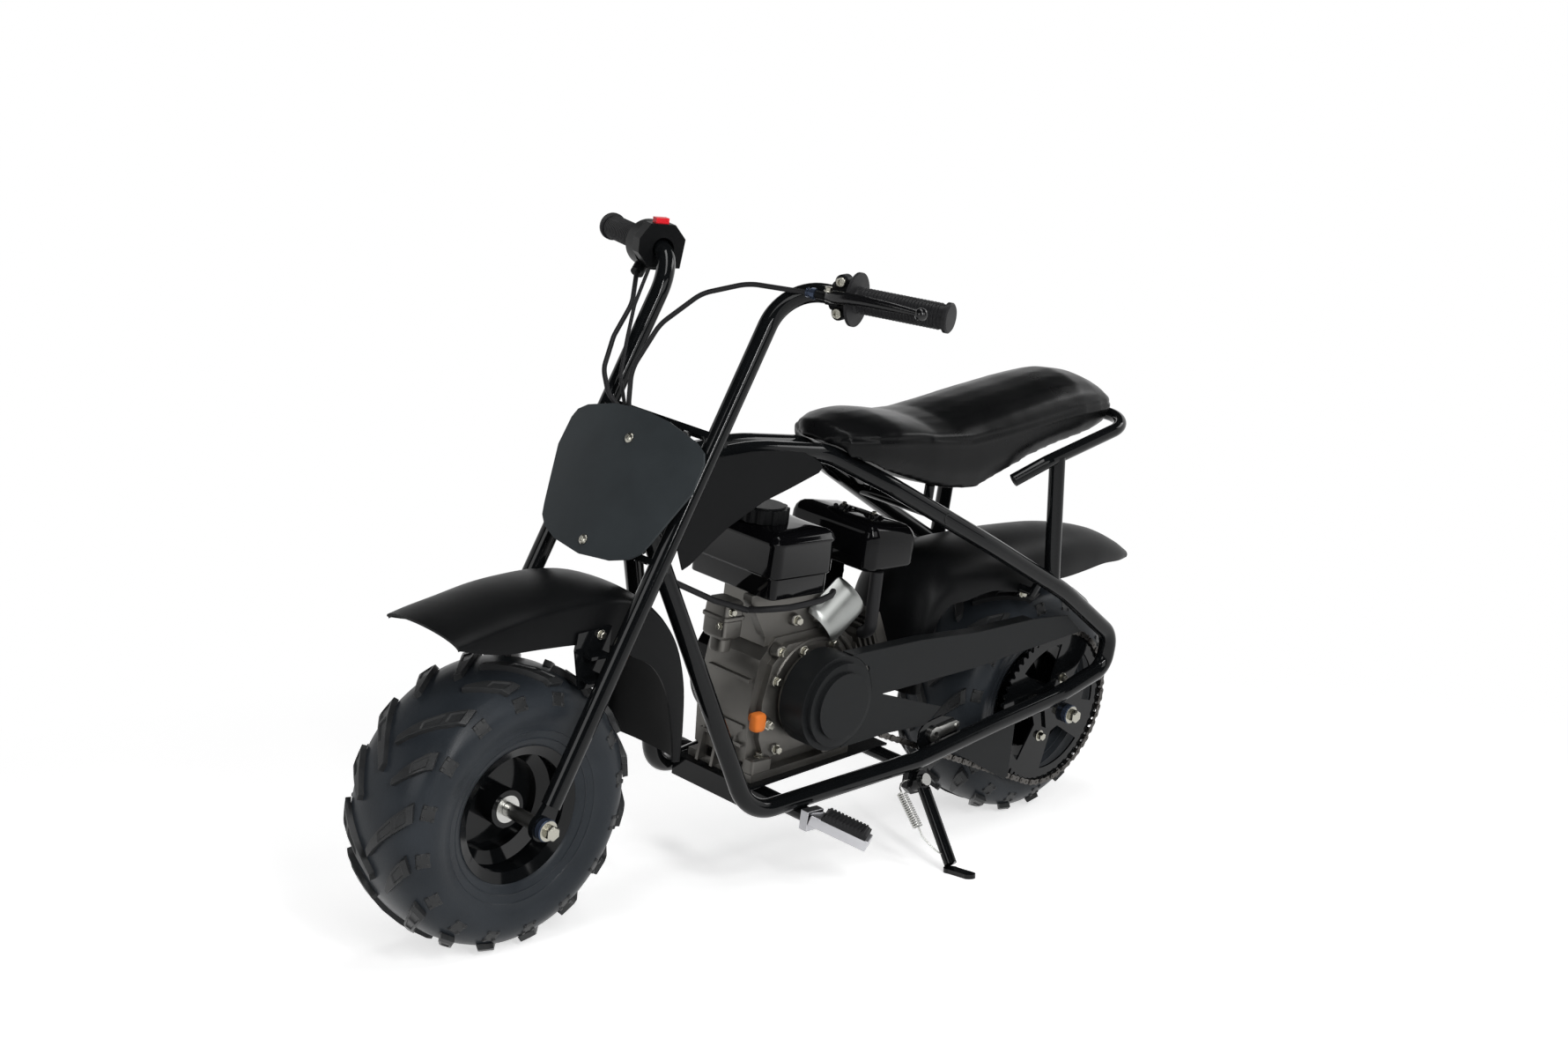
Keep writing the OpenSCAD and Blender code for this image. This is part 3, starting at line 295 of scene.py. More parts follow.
def way(x, y, z):
    """Direction in the frame of a direction on the upright bike."""
    return (upright.to_3x3() @ Vector((x, y, z))).normalized()


def mm(x, y, z):
    """Place in the frame of a point of the upright bike, in millimetres."""
    return upright @ Vector((x * MM, y * MM, z * MM))


def piece(name, verts, faces, look, body, sharp=35):
    """New piece from points and faces: finish, smooth shading up to an angle, and its body."""
    mesh = bpy.data.meshes.new(name)
    mesh.from_pydata([tuple(v) for v in verts], [], faces)
    bm = bmesh.new()
    bm.from_mesh(mesh)
    bmesh.ops.recalc_face_normals(bm, faces=bm.faces)
    bm.to_mesh(mesh)
    bm.free()
    mesh.polygons.foreach_set("use_smooth", [True] * len(mesh.polygons))
    mesh.set_sharp_from_angle(angle=math.radians(sharp))
    mesh.materials.append(looks[look])
    ob = bpy.data.objects.new(name, mesh)
    scene.collection.objects.link(ob)
    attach(ob, body)
    return ob


def rings(store, sections, closed=True, capped=True):
    """Faces between point rings of equal length. store is a (points, faces) pair."""
    points, faces = store
    n, first = len(sections[0]), len(points)
    for ring in sections:
        points.extend(ring)
    for i in range(len(sections) - 1):
        for k in range(n if closed else n - 1):
            a, b = first + i * n + k, first + i * n + (k + 1) % n
            faces.append((a, b, b + n, a + n))
    if capped and closed:
        faces.append(tuple(first + k for k in range(n)))
        faces.append(tuple(first + (len(sections) - 1) * n + k for k in reversed(range(n))))


def turned(store, base, axis, rows, sides=24, capped=True, phase=0.0):
    """Turned form: rows are (along, radius) in millimetres from base along axis."""
    side = axis.orthogonal().normalized()
    other = axis.cross(side)
    spin = [(math.cos(phase + math.tau * k / sides), math.sin(phase + math.tau * k / sides))
            for k in range(sides)]
    rings(store, [[base + axis * along * MM + (side * c + other * s) * radius * MM
                   for c, s in spin] for along, radius in rows], capped=capped)


def tube_along(store, points, radius, sides=10):
    """Round tube through points, each ring square to the path."""
    path = [Vector(p) for p in points]
    up = way(0.02, 0.03, 1)
    sections = []
    for i, p in enumerate(path):
        ahead_ = (path[min(i + 1, len(path) - 1)] - path[max(i - 1, 0)]).normalized()
        side = ahead_.cross(up)
        side = side.normalized() if side.length > 1e-6 else ahead_.orthogonal().normalized()
        over = side.cross(ahead_)
        sections.append([p + (side * math.cos(math.tau * k / sides)
                              + over * math.sin(math.tau * k / sides)) * radius * MM
                         for k in range(sides)])
    rings(store, sections)


hardware = {}


def store_for(look, body):
    """Store of the small hardware that has this finish and moves with this body."""
    return hardware.setdefault((look, body), ([], []))


def bolt(base, axis, across=10, look="zinc", body="frame", washer=True, turn=0.3):
    """Hex head on its washer, seated at base and pointing along axis; across is over the flats."""
    store, r = store_for(look, body), across / math.sqrt(3)
    h = 0
    if washer:
        turned(store, base, axis, [(0, r * 1.28), (0.9, r * 1.32), (1.3, r * 1.2)], 24)
        h = 1.3
    turned(store, base, axis, [(h, r * 0.98), (h + 0.3, r), (h + across * 0.5, r),
                               (h + across * 0.62, r * 0.84)], 6, phase=turn)


def rivet(base, axis, radius, look, body):
    """Low round head, seated at base and pointing along axis."""
    turned(store_for(look, body), base, axis,
           [(0, radius), (radius * 0.22, radius), (radius * 0.5, radius * 0.72),
            (radius * 0.62, radius * 0.3)], 20)


print("helpers ready")

# %% [markdown]
# Pressed, cast and moulded parts have no sharp edges. `softened` copies a frame part, joins its flat
# triangles into whole faces and rounds its hard edges by a real radius, so that each edge catches a
# thin highlight. The copy stands for the frame part and keeps its form.

# %% Rounded edges on the frame's parts
body_of = {name: body for body, names in frame["record"]["behaviour"]["bodies"].items()
           for name in names}


def softened(node, edge_mm, look=None, steps=3, angle=32, sharp=40):
    """Copy of a frame part with rounded edges, which stands for the part."""
    part = nodes[node]
    bm = bmesh.new()
    bm.from_mesh(part.data)
    bm.transform(part.matrix_world)
    bmesh.ops.remove_doubles(bm, verts=bm.verts, dist=2e-5)
    bmesh.ops.dissolve_limit(bm, angle_limit=math.radians(1.2), verts=bm.verts, edges=bm.edges)
    mesh = bpy.data.meshes.new(node + "_skin")
    bm.to_mesh(mesh)
    bm.free()
    mesh.polygons.foreach_set("use_smooth", [True] * len(mesh.polygons))
    mesh.set_sharp_from_angle(angle=math.radians(sharp))
    mesh.materials.append(looks[look or slot_of[node]])
    ob = bpy.data.objects.new(node + "_skin", mesh)
    scene.collection.objects.link(ob)
    edge = ob.modifiers.new("rounded edge", "BEVEL")
    edge.width, edge.segments = edge_mm * MM, steps
    edge.limit_method, edge.angle_limit = "ANGLE", math.radians(angle)
    edge.use_clamp_overlap = True
    edge.harden_normals = True
    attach(ob, body_of[node])
    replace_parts(ob, node)


EDGES = {  # node: rounding in millimetres
    "muffler": 4.0, "recoil_cover": 4.0, "clutch_cover": 5.5,
    "fuel_cap": 1.6, "chain_guard": 0.7, "switch_box": 3.0, "footpegs": 2.0,
    "lower_guard": 0.6, "engine_case": 1.8, "throttle_housing": 2.5, "lever_perch": 1.2,
    "stand_bracket": 0.8, "side_panels": 1.2, "engine_plate": 0.8,
    "cylinder_head": 0.5, "brake_bracket": 0.8, "brake_arm": 0.6,
}
GREYER = {"chain_guard": "guard_black", "clutch_cover": "guard_black", "lower_guard": "guard_black"}
for node, edge_mm in EDGES.items():
    softened(node, edge_mm, GREYER.get(node))
print("rounded parts:", len(EDGES))

# %% [markdown]
# The tyres are the boldest part of the look: sixteen lugs on each shoulder, long and short in turn,
# swept forward towards the middle, and set half a step apart on the two sides. A lug is a grid of
# points that follows the tread from the shoulder to its inner end, with walls down to the groove and
# sunken panels in its top. Its path is given by five or six places from the outer to the inner end.
# A square block stands on the sidewall below each lug. The carcass between them is one turned form.

# %% Tyres
TIP_LINE = [(72.5, 142), (71.2, 150), (65.4, 166), (56.5, 174), (38, 179.8), (20, 182.4), (0, 183.2)]
GROOVE_DEPTH = [1.6, 2.4, 6.0, 7.0, 7.2, 7.2, 7.2]
CARCASS = [(0, 175.8), (20, 175.2), (38, 172.4), (52, 167.6), (59.5, 161.6), (65.4, 155), (69, 148.5),
           (71, 142), (71.8, 135), (71, 128), (69, 121), (66.4, 112), (66.6, 110.6), (65.4, 109.6),
           (63.0, 101), (63.4, 99.6), (62.0, 98.6), (60, 92.8), (57.6, 89.0), (52, 85)]
LUG_PAIRS = 8
LUG_R = 172  # radius at which half widths of lugs are measured
ROOT = 0.4  # how far walls reach under the carcass, so that no gap shows
PANEL_DEPTH, BLOCK_HEIGHT = 1.8, 2.6
TOP, WALL, PANEL = range(3)  # what a column of a lug's grid belongs to
# columns: distance across the tyre, turn of the lug's middle in degrees, half its width in mm
LONG_LUG = [(62, 0, 11.5), (53, 3.2, 11), (40, 7.6, 9.6), (26, 12.4, 8), (12, 17.6, 6.4), (1, 22.5, 5)]
SHORT_LUG = [(62, 0, 11), (54, 2.4, 10.6), (44, 6.2, 9), (34, 10.2, 6.6), (24, 14.6, 3.6)]
tip_s = np.concatenate([[0], np.cumsum(np.hypot(*np.diff(np.array(TIP_LINE), axis=0).T))])


def on_tread(s, drop=0.0):
    """Distance across and radius at arc length s up from the sidewall, sunk square to the tread."""
    y, r = (np.interp(s, tip_s, [p[i] for p in TIP_LINE]) for i in (0, 1))
    (y1, r1), (y2, r2) = ([np.interp(s + d, tip_s, [p[i] for p in TIP_LINE]) for i in (0, 1)]
                          for d in (-3, 3))
    size = math.hypot(y2 - y1, r2 - r1)
    return y - drop * (r2 - r1) / size, r + drop * (y2 - y1) / size


def spot(place, side, y, r, angle):
    """Point of a wheel at place: distance out on a side, radius, and angle from the top."""
    return place @ Vector((r * math.sin(angle) * MM, side * y * MM, r * math.cos(angle) * MM))


def lug(store, place, theta, side, path, panels):
    """One lug along path, with sunken panels given as (from, to) distances across the tyre."""
    def s_at(y):
        return float(np.interp(-y, [-p[0] for p in TIP_LINE], tip_s))
    first, last = s_at(path[0][0]), s_at(path[-1][0])
    stops = {first, first + 1.4, last - 1.4, last}
    wells = [(s_at(a), s_at(b)) for a, b in panels]
    for a, b in wells:
        stops |= {a, a + 1.3, b - 1.3, b}
    stops |= {s_at(q[0]) for q in path[1:-1]}
    stops = sorted(stops)
    columns = [(-1.06, WALL), (-0.94, TOP), (-0.64, TOP), (-0.5, PANEL),
               (0.5, PANEL), (0.64, TOP), (0.94, TOP), (1.06, WALL)]
    sections = []
    for i, s in enumerate([first - 1.2] + stops + [last + 1.0]):
        wall = i == 0 or i == len(stops) + 1
        deep = float(np.interp(s, tip_s, GROOVE_DEPTH)) + ROOT
        sunk = any(a + 0.6 < s < b - 0.6 for a, b in wells)
        y_mid = float(np.interp(s, tip_s, [p[0] for p in TIP_LINE]))
        turn, half = (float(np.interp(-y_mid, [-q[0] for q in path], [q[i] for q in path]))
                      for i in (1, 2))
        row = []
        for f, kind in columns:
            drop = deep if wall or kind == WALL else PANEL_DEPTH if kind == PANEL and sunk else 0.0
            y, r = on_tread(s - 0.22 * f * half, drop)
            row.append(spot(place, side, y, r, theta + math.radians(turn) + f * half / LUG_R))
        sections.append(row)
    rings(store, sections, closed=False, capped=False)


def block(store, place, theta, side):
    """Square block with a sunken face on the sidewall under a lug."""
    sections = []
    for s, edge in ((0.5, 0), (1.0, 1), (4.6, 1), (5.6, 0.35), (13, 0.35), (14, 1), (17.6, 1), (18.1, 0)):
        row = []
        for f, lift in ((-9.6, 0), (-9, 1), (-5.4, 1), (-4.6, 0.35),
                        (4.6, 0.35), (5.4, 1), (9, 1), (9.6, 0)):
            deep = float(np.interp(s, tip_s, GROOVE_DEPTH))
            y, r = on_tread(s, max(0.0, deep + ROOT - BLOCK_HEIGHT * min(edge, lift)))
            row.append(spot(place, side, y, r, theta + f / r))
        sections.append(row)
    rings(store, sections, closed=False, capped=False)


def tyre(name, along, body, phase):
    """Carcass and lugs of the wheel whose hub is at along; phase turns the lugs, in degrees."""
    place = upright @ Matrix.Translation((along, 0, WHEEL_R))
    carcass, tread = ([], []), ([], [])
    line = [(-y, r) for y, r in reversed(CARCASS)] + CARCASS[1:]
    steps = 160
    rings(carcass, [[spot(place, 1, y, r, math.tau * k / steps) for k in range(steps)] for y, r in line],
          capped=False)
    half_step = math.pi / LUG_PAIRS
    for side in (1, -1):
        for i in range(LUG_PAIRS):
            theta = math.radians(phase) + math.tau * (i + (0.25 if side < 0 else 0)) / LUG_PAIRS
            lug(tread, place, theta, side, LONG_LUG, [(57, 44), (41, 22)])
            lug(tread, place, theta + half_step, side, SHORT_LUG, [(57, 42)])
            block(tread, place, theta + math.radians(-1), side)
            block(tread, place, theta + half_step + math.radians(-1), side)
    piece(name + "_carcass", *carcass, "tyre", body, sharp=28)
    ob = piece(name, *tread, "tread", body, sharp=28)
    soft = ob.modifiers.new("moulded edge", "BEVEL")
    soft.width, soft.segments, soft.limit_method = 0.0006, 2, "ANGLE"
    soft.angle_limit = math.radians(35)
    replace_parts(ob, body.replace("wheel", "tyre"))


tyre("front_tread", WHEELBASE, "front_wheel", 33.2)
tyre("rear_tread", 0.0, "rear_wheel", 12.0)
print("tyres with", 4 * LUG_PAIRS, "lugs each")

# %% [markdown]
# The seat is foam under stretched vinyl. A slightly smaller copy of its solid is remeshed and swelled
# by a short cloth simulation. How far each point moves is held within a few millimetres and averaged
# over its neighbours, so the top crowns without folds. The sewn seam along each side is pressed in
# afterwards.

# %% Seat
def shrunk_copy(node, inset_mm):
    """Copy of a frame part as the seat's cover, with its surface moved in."""
    part = nodes[node]
    bm = bmesh.new()
    bm.from_mesh(part.data)
    bm.transform(part.matrix_world)
    bmesh.ops.remove_doubles(bm, verts=bm.verts, dist=2e-5)
    bm.normal_update()
    for v in bm.verts:
        v.co -= v.normal * inset_mm * MM
    mesh = bpy.data.meshes.new("seat_cover")
    bm.to_mesh(mesh)
    bm.free()
    ob = bpy.data.objects.new("seat_cover", mesh)
    scene.collection.objects.link(ob)
    return ob


def apply_modifiers(ob):
    """Make what the modifiers give the mesh itself."""
    deps = bpy.context.evaluated_depsgraph_get()
    mesh = bpy.data.meshes.new_from_object(ob.evaluated_get(deps))
    ob.modifiers.clear()
    ob.data = mesh


SWELL_PASSES = 90


def swell(ob, pressure=4.0, cap_mm=6.0, frames=20):
    """Cloth simulation with inner pressure; no point may move further than the cap."""
    rest = np.empty(len(ob.data.vertices) * 3)
    ob.data.vertices.foreach_get("co", rest)
    cloth = ob.modifiers.new("stretch", "CLOTH")
    cloth.settings.use_pressure = True
    cloth.settings.uniform_pressure_force = pressure
    cloth.settings.effector_weights.gravity = 0
    cloth.settings.quality = 5
    cloth.settings.tension_stiffness = cloth.settings.compression_stiffness = 15
    cloth.point_cache.frame_start, cloth.point_cache.frame_end = 1, frames
    for f in range(1, frames + 1):
        scene.frame_set(f)
    apply_modifiers(ob)
    scene.frame_set(1)
    now = np.empty_like(rest)
    ob.data.vertices.foreach_get("co", now)
    move = (now - rest).reshape(-1, 3)
    length = np.linalg.norm(move, axis=1, keepdims=True)
    move *= np.minimum(1, cap_mm * MM / np.maximum(length, 1e-9))
    ends = np.empty(len(ob.data.edges) * 2, dtype=int)
    ob.data.edges.foreach_get("vertices", ends)
    a, b = ends.reshape(-1, 2).T
    count = 1 + np.bincount(ends, minlength=len(move))[:, None]
    for _ in range(SWELL_PASSES):  # stretched vinyl carries no small folds
        total = move.copy()
        for axis in range(3):
            total[:, axis] += (np.bincount(a, move[b, axis], len(move))
                               + np.bincount(b, move[a, axis], len(move)))
        move = total / count
    ob.data.vertices.foreach_set("co", (rest.reshape(-1, 3) + move).ravel())
    return float(length.max() / MM)


SEAT_SEAM = [(494, 600), (478, 614), (358, 612), (258, 604), (183, 612), (29, 632), (-60, 636)]
SEAM_DEPTH, SEAM_WIDTH = 1.3, 2.4
LIP_HEIGHT, LIP_AT, LIP_WIDTH = 0.5, 6, 3  # the vinyl bulges a little above and below the seam
COVER_INSET_MM, COVER_VOXEL = 2.5, 0.0055
seat_cover = shrunk_copy("seat", COVER_INSET_MM)
voxel = seat_cover.modifiers.new("even mesh", "REMESH")
voxel.mode, voxel.voxel_size = "VOXEL", COVER_VOXEL
even = seat_cover.modifiers.new("relax", "SMOOTH")
even.factor, even.iterations = 0.5, 3
apply_modifiers(seat_cover)
moved = swell(seat_cover)
round_off = seat_cover.modifiers.new("smooth skin", "SUBSURF")
round_off.levels = round_off.render_levels = 1
apply_modifiers(seat_cover)

to_bike = upright.inverted()
seam = np.array(SEAT_SEAM, dtype=float)
cover = seat_cover.data
cover.update()
normals = [v.normal.copy() for v in cover.vertices]
for v, n in zip(cover.vertices, normals):
    p = to_bike @ v.co / MM
    level = np.interp(-p.x, -seam[:, 0], seam[:, 1])
    off = p.z - level
    if abs(p.y) > 30 or p.x > 470:  # along the sides and round the nose
        v.co -= n * MM * (SEAM_DEPTH * math.exp(-(off / SEAM_WIDTH) ** 2)
                          - LIP_HEIGHT * math.exp(-((abs(off) - LIP_AT) / LIP_WIDTH) ** 2))
cover.polygons.foreach_set("use_smooth", [True] * len(cover.polygons))
cover.materials.clear()
cover.materials.append(looks["vinyl"])
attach(seat_cover, "frame")
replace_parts(seat_cover, "seat")
print(f"seat: {len(cover.vertices)} points, cloth moved up to {moved:.1f} mm")

# %% [markdown]
# The chain is made link by link along its loop: an arc round the sprocket, an arc round the small
# drive pinion and the two straight runs between them. Outer and inner plates alternate, and a roller
# sits at each pin. The sprocket gets one tooth between every two rollers.

# %% Chain and sprocket teeth
CRANK = (490.0, 266.0)
SPROCKET_R, PINION_R, CHAIN_Y, CHAIN_PITCH = 117.0, 22.0, 91.0, 12.7
PLATE_R, WAIST = 4.4, 3.1  # half heights of a link plate at its ends and in the middle
drive = math.hypot(CRANK[0], CRANK[1] - HUB_Z)
tilt = math.atan2(CRANK[1] - HUB_Z, CRANK[0])
wrap = math.acos((SPROCKET_R - PINION_R) / drive)
straight = math.sqrt(drive ** 2 - (SPROCKET_R - PINION_R) ** 2)
lengths = [SPROCKET_R * (math.tau - 2 * wrap), straight, PINION_R * 2 * wrap, straight]
loop_len = sum(lengths)
LINKS = 2 * round(loop_len / CHAIN_PITCH / 2)
pitch = loop_len / LINKS


def on_sprocket(a, r=SPROCKET_R):
    """Place round the rear hub, in the plane of the chain, at an angle and radius."""
    return r * math.cos(a), HUB_Z + r * math.sin(a)


def on_pinion(a):
    """Place on the pitch circle of the drive pinion, in the plane of the chain."""
    return CRANK[0] + PINION_R * math.cos(a), CRANK[1] + PINION_R * math.sin(a)


def chain_point(s):
    """Place on the loop, in the plane of the chain, for a distance s along it."""
    s %= loop_len
    low, high = tilt - wrap, tilt + wrap
    if s < lengths[0]:
        return on_sprocket(high + s / SPROCKET_R)
    s -= lengths[0]
    if straight <= s < straight + lengths[2]:
        return on_pinion(low + (s - straight) / PINION_R)
    if s < straight:
        (x0, z0), (x1, z1) = on_sprocket(low), on_pinion(low)
    else:
        s -= straight + lengths[2]
        (x0, z0), (x1, z1) = on_pinion(high), on_sprocket(high)
    return x0 + (x1 - x0) * s / straight, z0 + (z1 - z0) * s / straight


def link_plate(store, p, q, y_in, y_out):
    """Waisted plate between two pins, with rounded ends."""
    ax, az = q[0] - p[0], q[1] - p[1]
    size = math.hypot(ax, az)
    ax, az = ax / size, az / size
    outline = []
    for centre, start in ((q, -90), (p, 90)):
        outline += [(centre[0] + PLATE_R * (ax * math.cos(a) - az * math.sin(a)),
                     centre[1] + PLATE_R * (az * math.cos(a) + ax * math.sin(a)))
                    for a in (math.radians(start + k * 30) for k in range(7))]
        mid = WAIST if centre is q else -WAIST
        outline.append(((p[0] + q[0]) / 2 - az * mid, (p[1] + q[1]) / 2 + ax * mid))
    rings(store, [[mm(x, y, z) for x, z in outline] for y in (y_in, y_out)])


chain_store = ([], [])
for i in range(LINKS):
    p, q = chain_point(i * pitch), chain_point((i + 1) * pitch)
    near_, far_ = (3.6, 4.8) if i % 2 else (5.0, 6.2)
    for s in (1, -1):
        link_plate(chain_store, p, q, CHAIN_Y + s * near_, CHAIN_Y + s * far_)
    turned(chain_store, mm(p[0], CHAIN_Y - 3.5, p[1]), way(0, 1, 0), [(0, 3.9), (7, 3.9)], 10)
    turned(chain_store, mm(p[0], CHAIN_Y - 6.8, p[1]), way(0, 1, 0), [(0, 1.7), (13.6, 1.7)], 8)
chain_ob = piece("chain_links", *chain_store, "chain_steel", "frame", sharp=30)
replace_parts(chain_ob, "chain")

TEETH = round(math.tau * SPROCKET_R / CHAIN_PITCH)
TOOTH_HALF = 1.5  # half the thickness of the sprocket
# radius, and place in the tooth's share of the circle
TOOTH = [(110.5, -0.5), (112.3, -0.36), (115.5, -0.26), (119.6, -0.1),
         (119.6, 0.1), (115.5, 0.26), (112.3, 0.36), (110.5, 0.5)]
BOLT_CIRCLE_R, FIRST_BOLT = 46, 21 - 180
tooth_store = ([], [])
for k in range(TEETH):
    flat = [on_sprocket(math.tau * (k + 0.5 + f) / TEETH, r) for r, f in TOOTH]
    rings(tooth_store, [[mm(x, y, z) for x, z in flat]
                        for y in (CHAIN_Y - TOOTH_HALF, CHAIN_Y + TOOTH_HALF)])
piece("sprocket_teeth", *tooth_store, "frame_paint", "rear_wheel", sharp=30)
for k in range(4):
    x, z = on_sprocket(math.radians(FIRST_BOLT + 90 * k), BOLT_CIRCLE_R)
    bolt(mm(x, CHAIN_Y + TOOTH_HALF, z), way(0, 1, 0), 11, "zinc", "rear_wheel")
print(LINKS, "links,", TEETH, "teeth")

# %% [markdown]
# The moulded fenders are single shells, arched across and bent along the wheel. Each is given by a few
# measured rows, and a smooth curve through the rows fills in between, so their outline has no corners.

# %% Fenders
def through_rows(rows, per=6):
    """Rows of numbers with a smooth curve (Catmull-Rom) put through each column."""
    q = np.array(rows, dtype=float)
    q = np.vstack([2 * q[0] - q[1], q, 2 * q[-1] - q[-2]])
    out = []
    for i in range(1, len(q) - 2):
        for t in np.linspace(0, 1, per, endpoint=False):
            out.append(0.5 * (2 * q[i] + (q[i + 1] - q[i - 1]) * t
                              + (2 * q[i - 1] - 5 * q[i] + 4 * q[i + 1] - q[i + 2]) * t ** 2
                              + (3 * q[i] - q[i - 1] - 3 * q[i + 1] + q[i + 2]) * t ** 3))
    return out + [q[-2]]


def fender(name, rows, node, wall=3.0):
    """rows: x, z, direction of up at the crown, half width, drop at the sides, depth of the flanks."""
    store, sections = ([], []), []
    for x, z, lean_of, wide, drop, flank in through_rows(rows):
        arch = [(wide * math.cos(a), drop * math.sin(a) - drop) for a in np.linspace(0, math.pi, 19)]
        outer = [(wide, -drop - flank)] + arch + [(-wide, -drop - flank)]
        inner = [((wide - wall) * c / wide, h - (wall if 0 < i <= len(arch) else 0))
                 for i, (c, h) in enumerate(outer)]
        c, s = math.cos(math.radians(lean_of)), math.sin(math.radians(lean_of))
        sections.append([mm(x + h * c, y, z + h * s) for y, h in outer + inner[::-1]])
    rings(store, sections)
    ob = piece(name, *store, "satin_black", body_of[node], sharp=42)
    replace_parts(ob, node)


fender("rear_fender_shell", [
    (304, 236, -4, 70, 16, 8), (308, 300, 0, 72, 18, 10), (306, 350, 8, 74, 26, 14),
    (294, 393, 32, 76, 38, 16), (264, 422, 62, 77, 48, 14), (222, 434, 80, 77, 54, 12),
    (160, 438, 88, 77, 54, 8), (91, 441, 90, 75, 58, 16), (30, 441, 91, 71, 56, 12),
    (-30, 439, 93, 65, 54, 12), (-90, 432, 97, 56, 48, 10), (-150, 419, 104, 46, 38, 6),
    (-205, 398, 112, 34, 24, 4), (-240, 380, 120, 20, 10, 2)], "rear_fender")
fender("front_fender_shell", [
    (727, 214, 184, 72, 12, 10), (727, 262, 180, 72, 14, 18), (735, 326, 164, 72, 15, 28),
    (758, 383, 146, 72, 15, 42), (798, 427, 124, 72, 15, 56), (846, 450, 106, 72, 15, 54),
    (896, 457, 94, 72, 15, 48), (945, 456, 90, 72, 15, 44), (995, 450, 86, 72, 14, 38),
    (1045, 440, 82, 71, 14, 28), (1085, 431, 78, 71, 13, 14), (1112, 424, 75, 70, 12, 1)], "front_fender")
bolt(mm(901, 76.4, 407), way(0, 1, 0), 8, "zinc", "steering")
bolt(mm(89, 75.4, 364), way(0, 1, 0), 8, "zinc", "frame")
print("two fenders")

# %% [markdown]
# The tank and the air box are pressed and moulded shells with generous corners. Each is a stack of
# rounded rectangles: small steps in from one ring to the next make the rounded top and bottom edges,
# and a ring that stands out makes the folded seam of the tank.

# %% Tank and air box
def corner_ring(cx, cy, half_x, half_y, corner, z, tilt=0.0):
    """Rounded rectangle of 40 points at height z; tilt raises it towards the front."""
    ring = []
    for qx, qy, start in ((1, 1, 0), (-1, 1, 90), (-1, -1, 180), (1, -1, 270)):
        for k in range(10):
            a = math.radians(start + 10 * k)
            x = cx + qx * (half_x - corner) + corner * math.cos(a)
            y = cy + qy * (half_y - corner) + corner * math.sin(a)
            ring.append(mm(x, y, z + tilt * (x - cx)))
    return ring


def shell(name, centre, half, corner, rows, look, node):
    """rows: height, step in, and tilt of each ring."""
    store = ([], [])
    rings(store, [corner_ring(*centre, half[0] - step, half[1] - step, max(2.0, corner - step), z, tilt)
                  for z, step, tilt in rows])
    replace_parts(piece(name, *store, look, "frame", sharp=50), node)


shell("tank_shell", (549, -13.5), (57, 83.5), 15,
      [(409, 9, 0), (409, 6.5, 0), (410.5, 5, 0), (436, 4.6, 0), (437, 4, 0), (438, 1.5, 0), (441, 0, 0),
       (481, 0, 0), (482.5, -1.6, 0), (485.5, -1.6, 0), (487, 0.2, 0), (491, 2.2, 0), (494.5, 6.5, 0),
       (497, 13, 0), (498.2, 26, 0), (498.6, 45, 0)], "tank_black", "fuel_tank")
shell("air_box_shell", (377, -10), (49, 80), 17,
      [(428, 9, 0), (428.6, 4, 0), (431, 1, 0), (435, 0, 0), (466, 0, 0.05), (474, 0.8, 0.09),
       (481, 3.5, 0.11), (486, 8, 0.12), (489.5, 14, 0.12), (491.6, 22, 0.12), (492.6, 34, 0.12)],
      "tank_black", "air_box")
lid_up = way(0.12, 0, 1)
for x, y in ((392, -18), (388, 34)):
    turned(store_for("tank_black", "frame"), mm(x, y, 493), lid_up,
           [(0, 14), (0.8, 14.5), (1.4, 12.5), (0.6, 11.6), (0.6, 7), (5.5, 6.4), (6.4, 5)], 28)
    bolt(mm(x, y, 499), lid_up, 6, "zinc", "frame", washer=False)
for y in (-24, -14):
    turned(store_for("rubber", "frame"), mm(402, y, 494), lid_up, [(0, 3.4), (5, 3.2), (6, 2)], 12)
print("tank and air box")

# %% [markdown]
# A bent sheet of steel shields the exhaust side of the cylinder. It is drawn as one sheet: rows across
# it follow the bend, and a second layer gives it its thickness. Ribs and bosses stand on the castings,
# and a carburettor with a wire over it sits in front of the cylinder.

# %% Heat shield and castings
SHIELD_BEND = [(-4, 51), (-2.5, 57), (0, 61.2), (3, 62.6), (10, 63.4), (20, 63.8), (30, 63), (38, 60.6),
               (46, 56), (53, 49), (58, 41)]  # up the sheet, distance across the bike
SHIELD_LENGTH, SHEET, CORNER = 70, 1.4, 5.0
sheet_store = ([], [])
outer, inner = [], []
for u in np.linspace(0, SHIELD_LENGTH, 15):
    trim = CORNER * max(0.0, 1 - min(u, SHIELD_LENGTH - u) / 7) ** 2
    for layer, sink in ((outer, 0.0), (inner, SHEET)):
        row = []
        for v, y in SHIELD_BEND:
            v = v + trim if v < 20 else v - trim
            row.append(mm(467 - 0.79 * u + 0.61 * v, y - sink, 333 + 0.61 * u + 0.79 * v))
        layer.append(row)
rings(sheet_store, [o + i[::-1] for o, i in zip(outer, inner)])
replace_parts(piece("shield_sheet", *sheet_store, "shield_steel", "frame", sharp=30), "heat_shield")


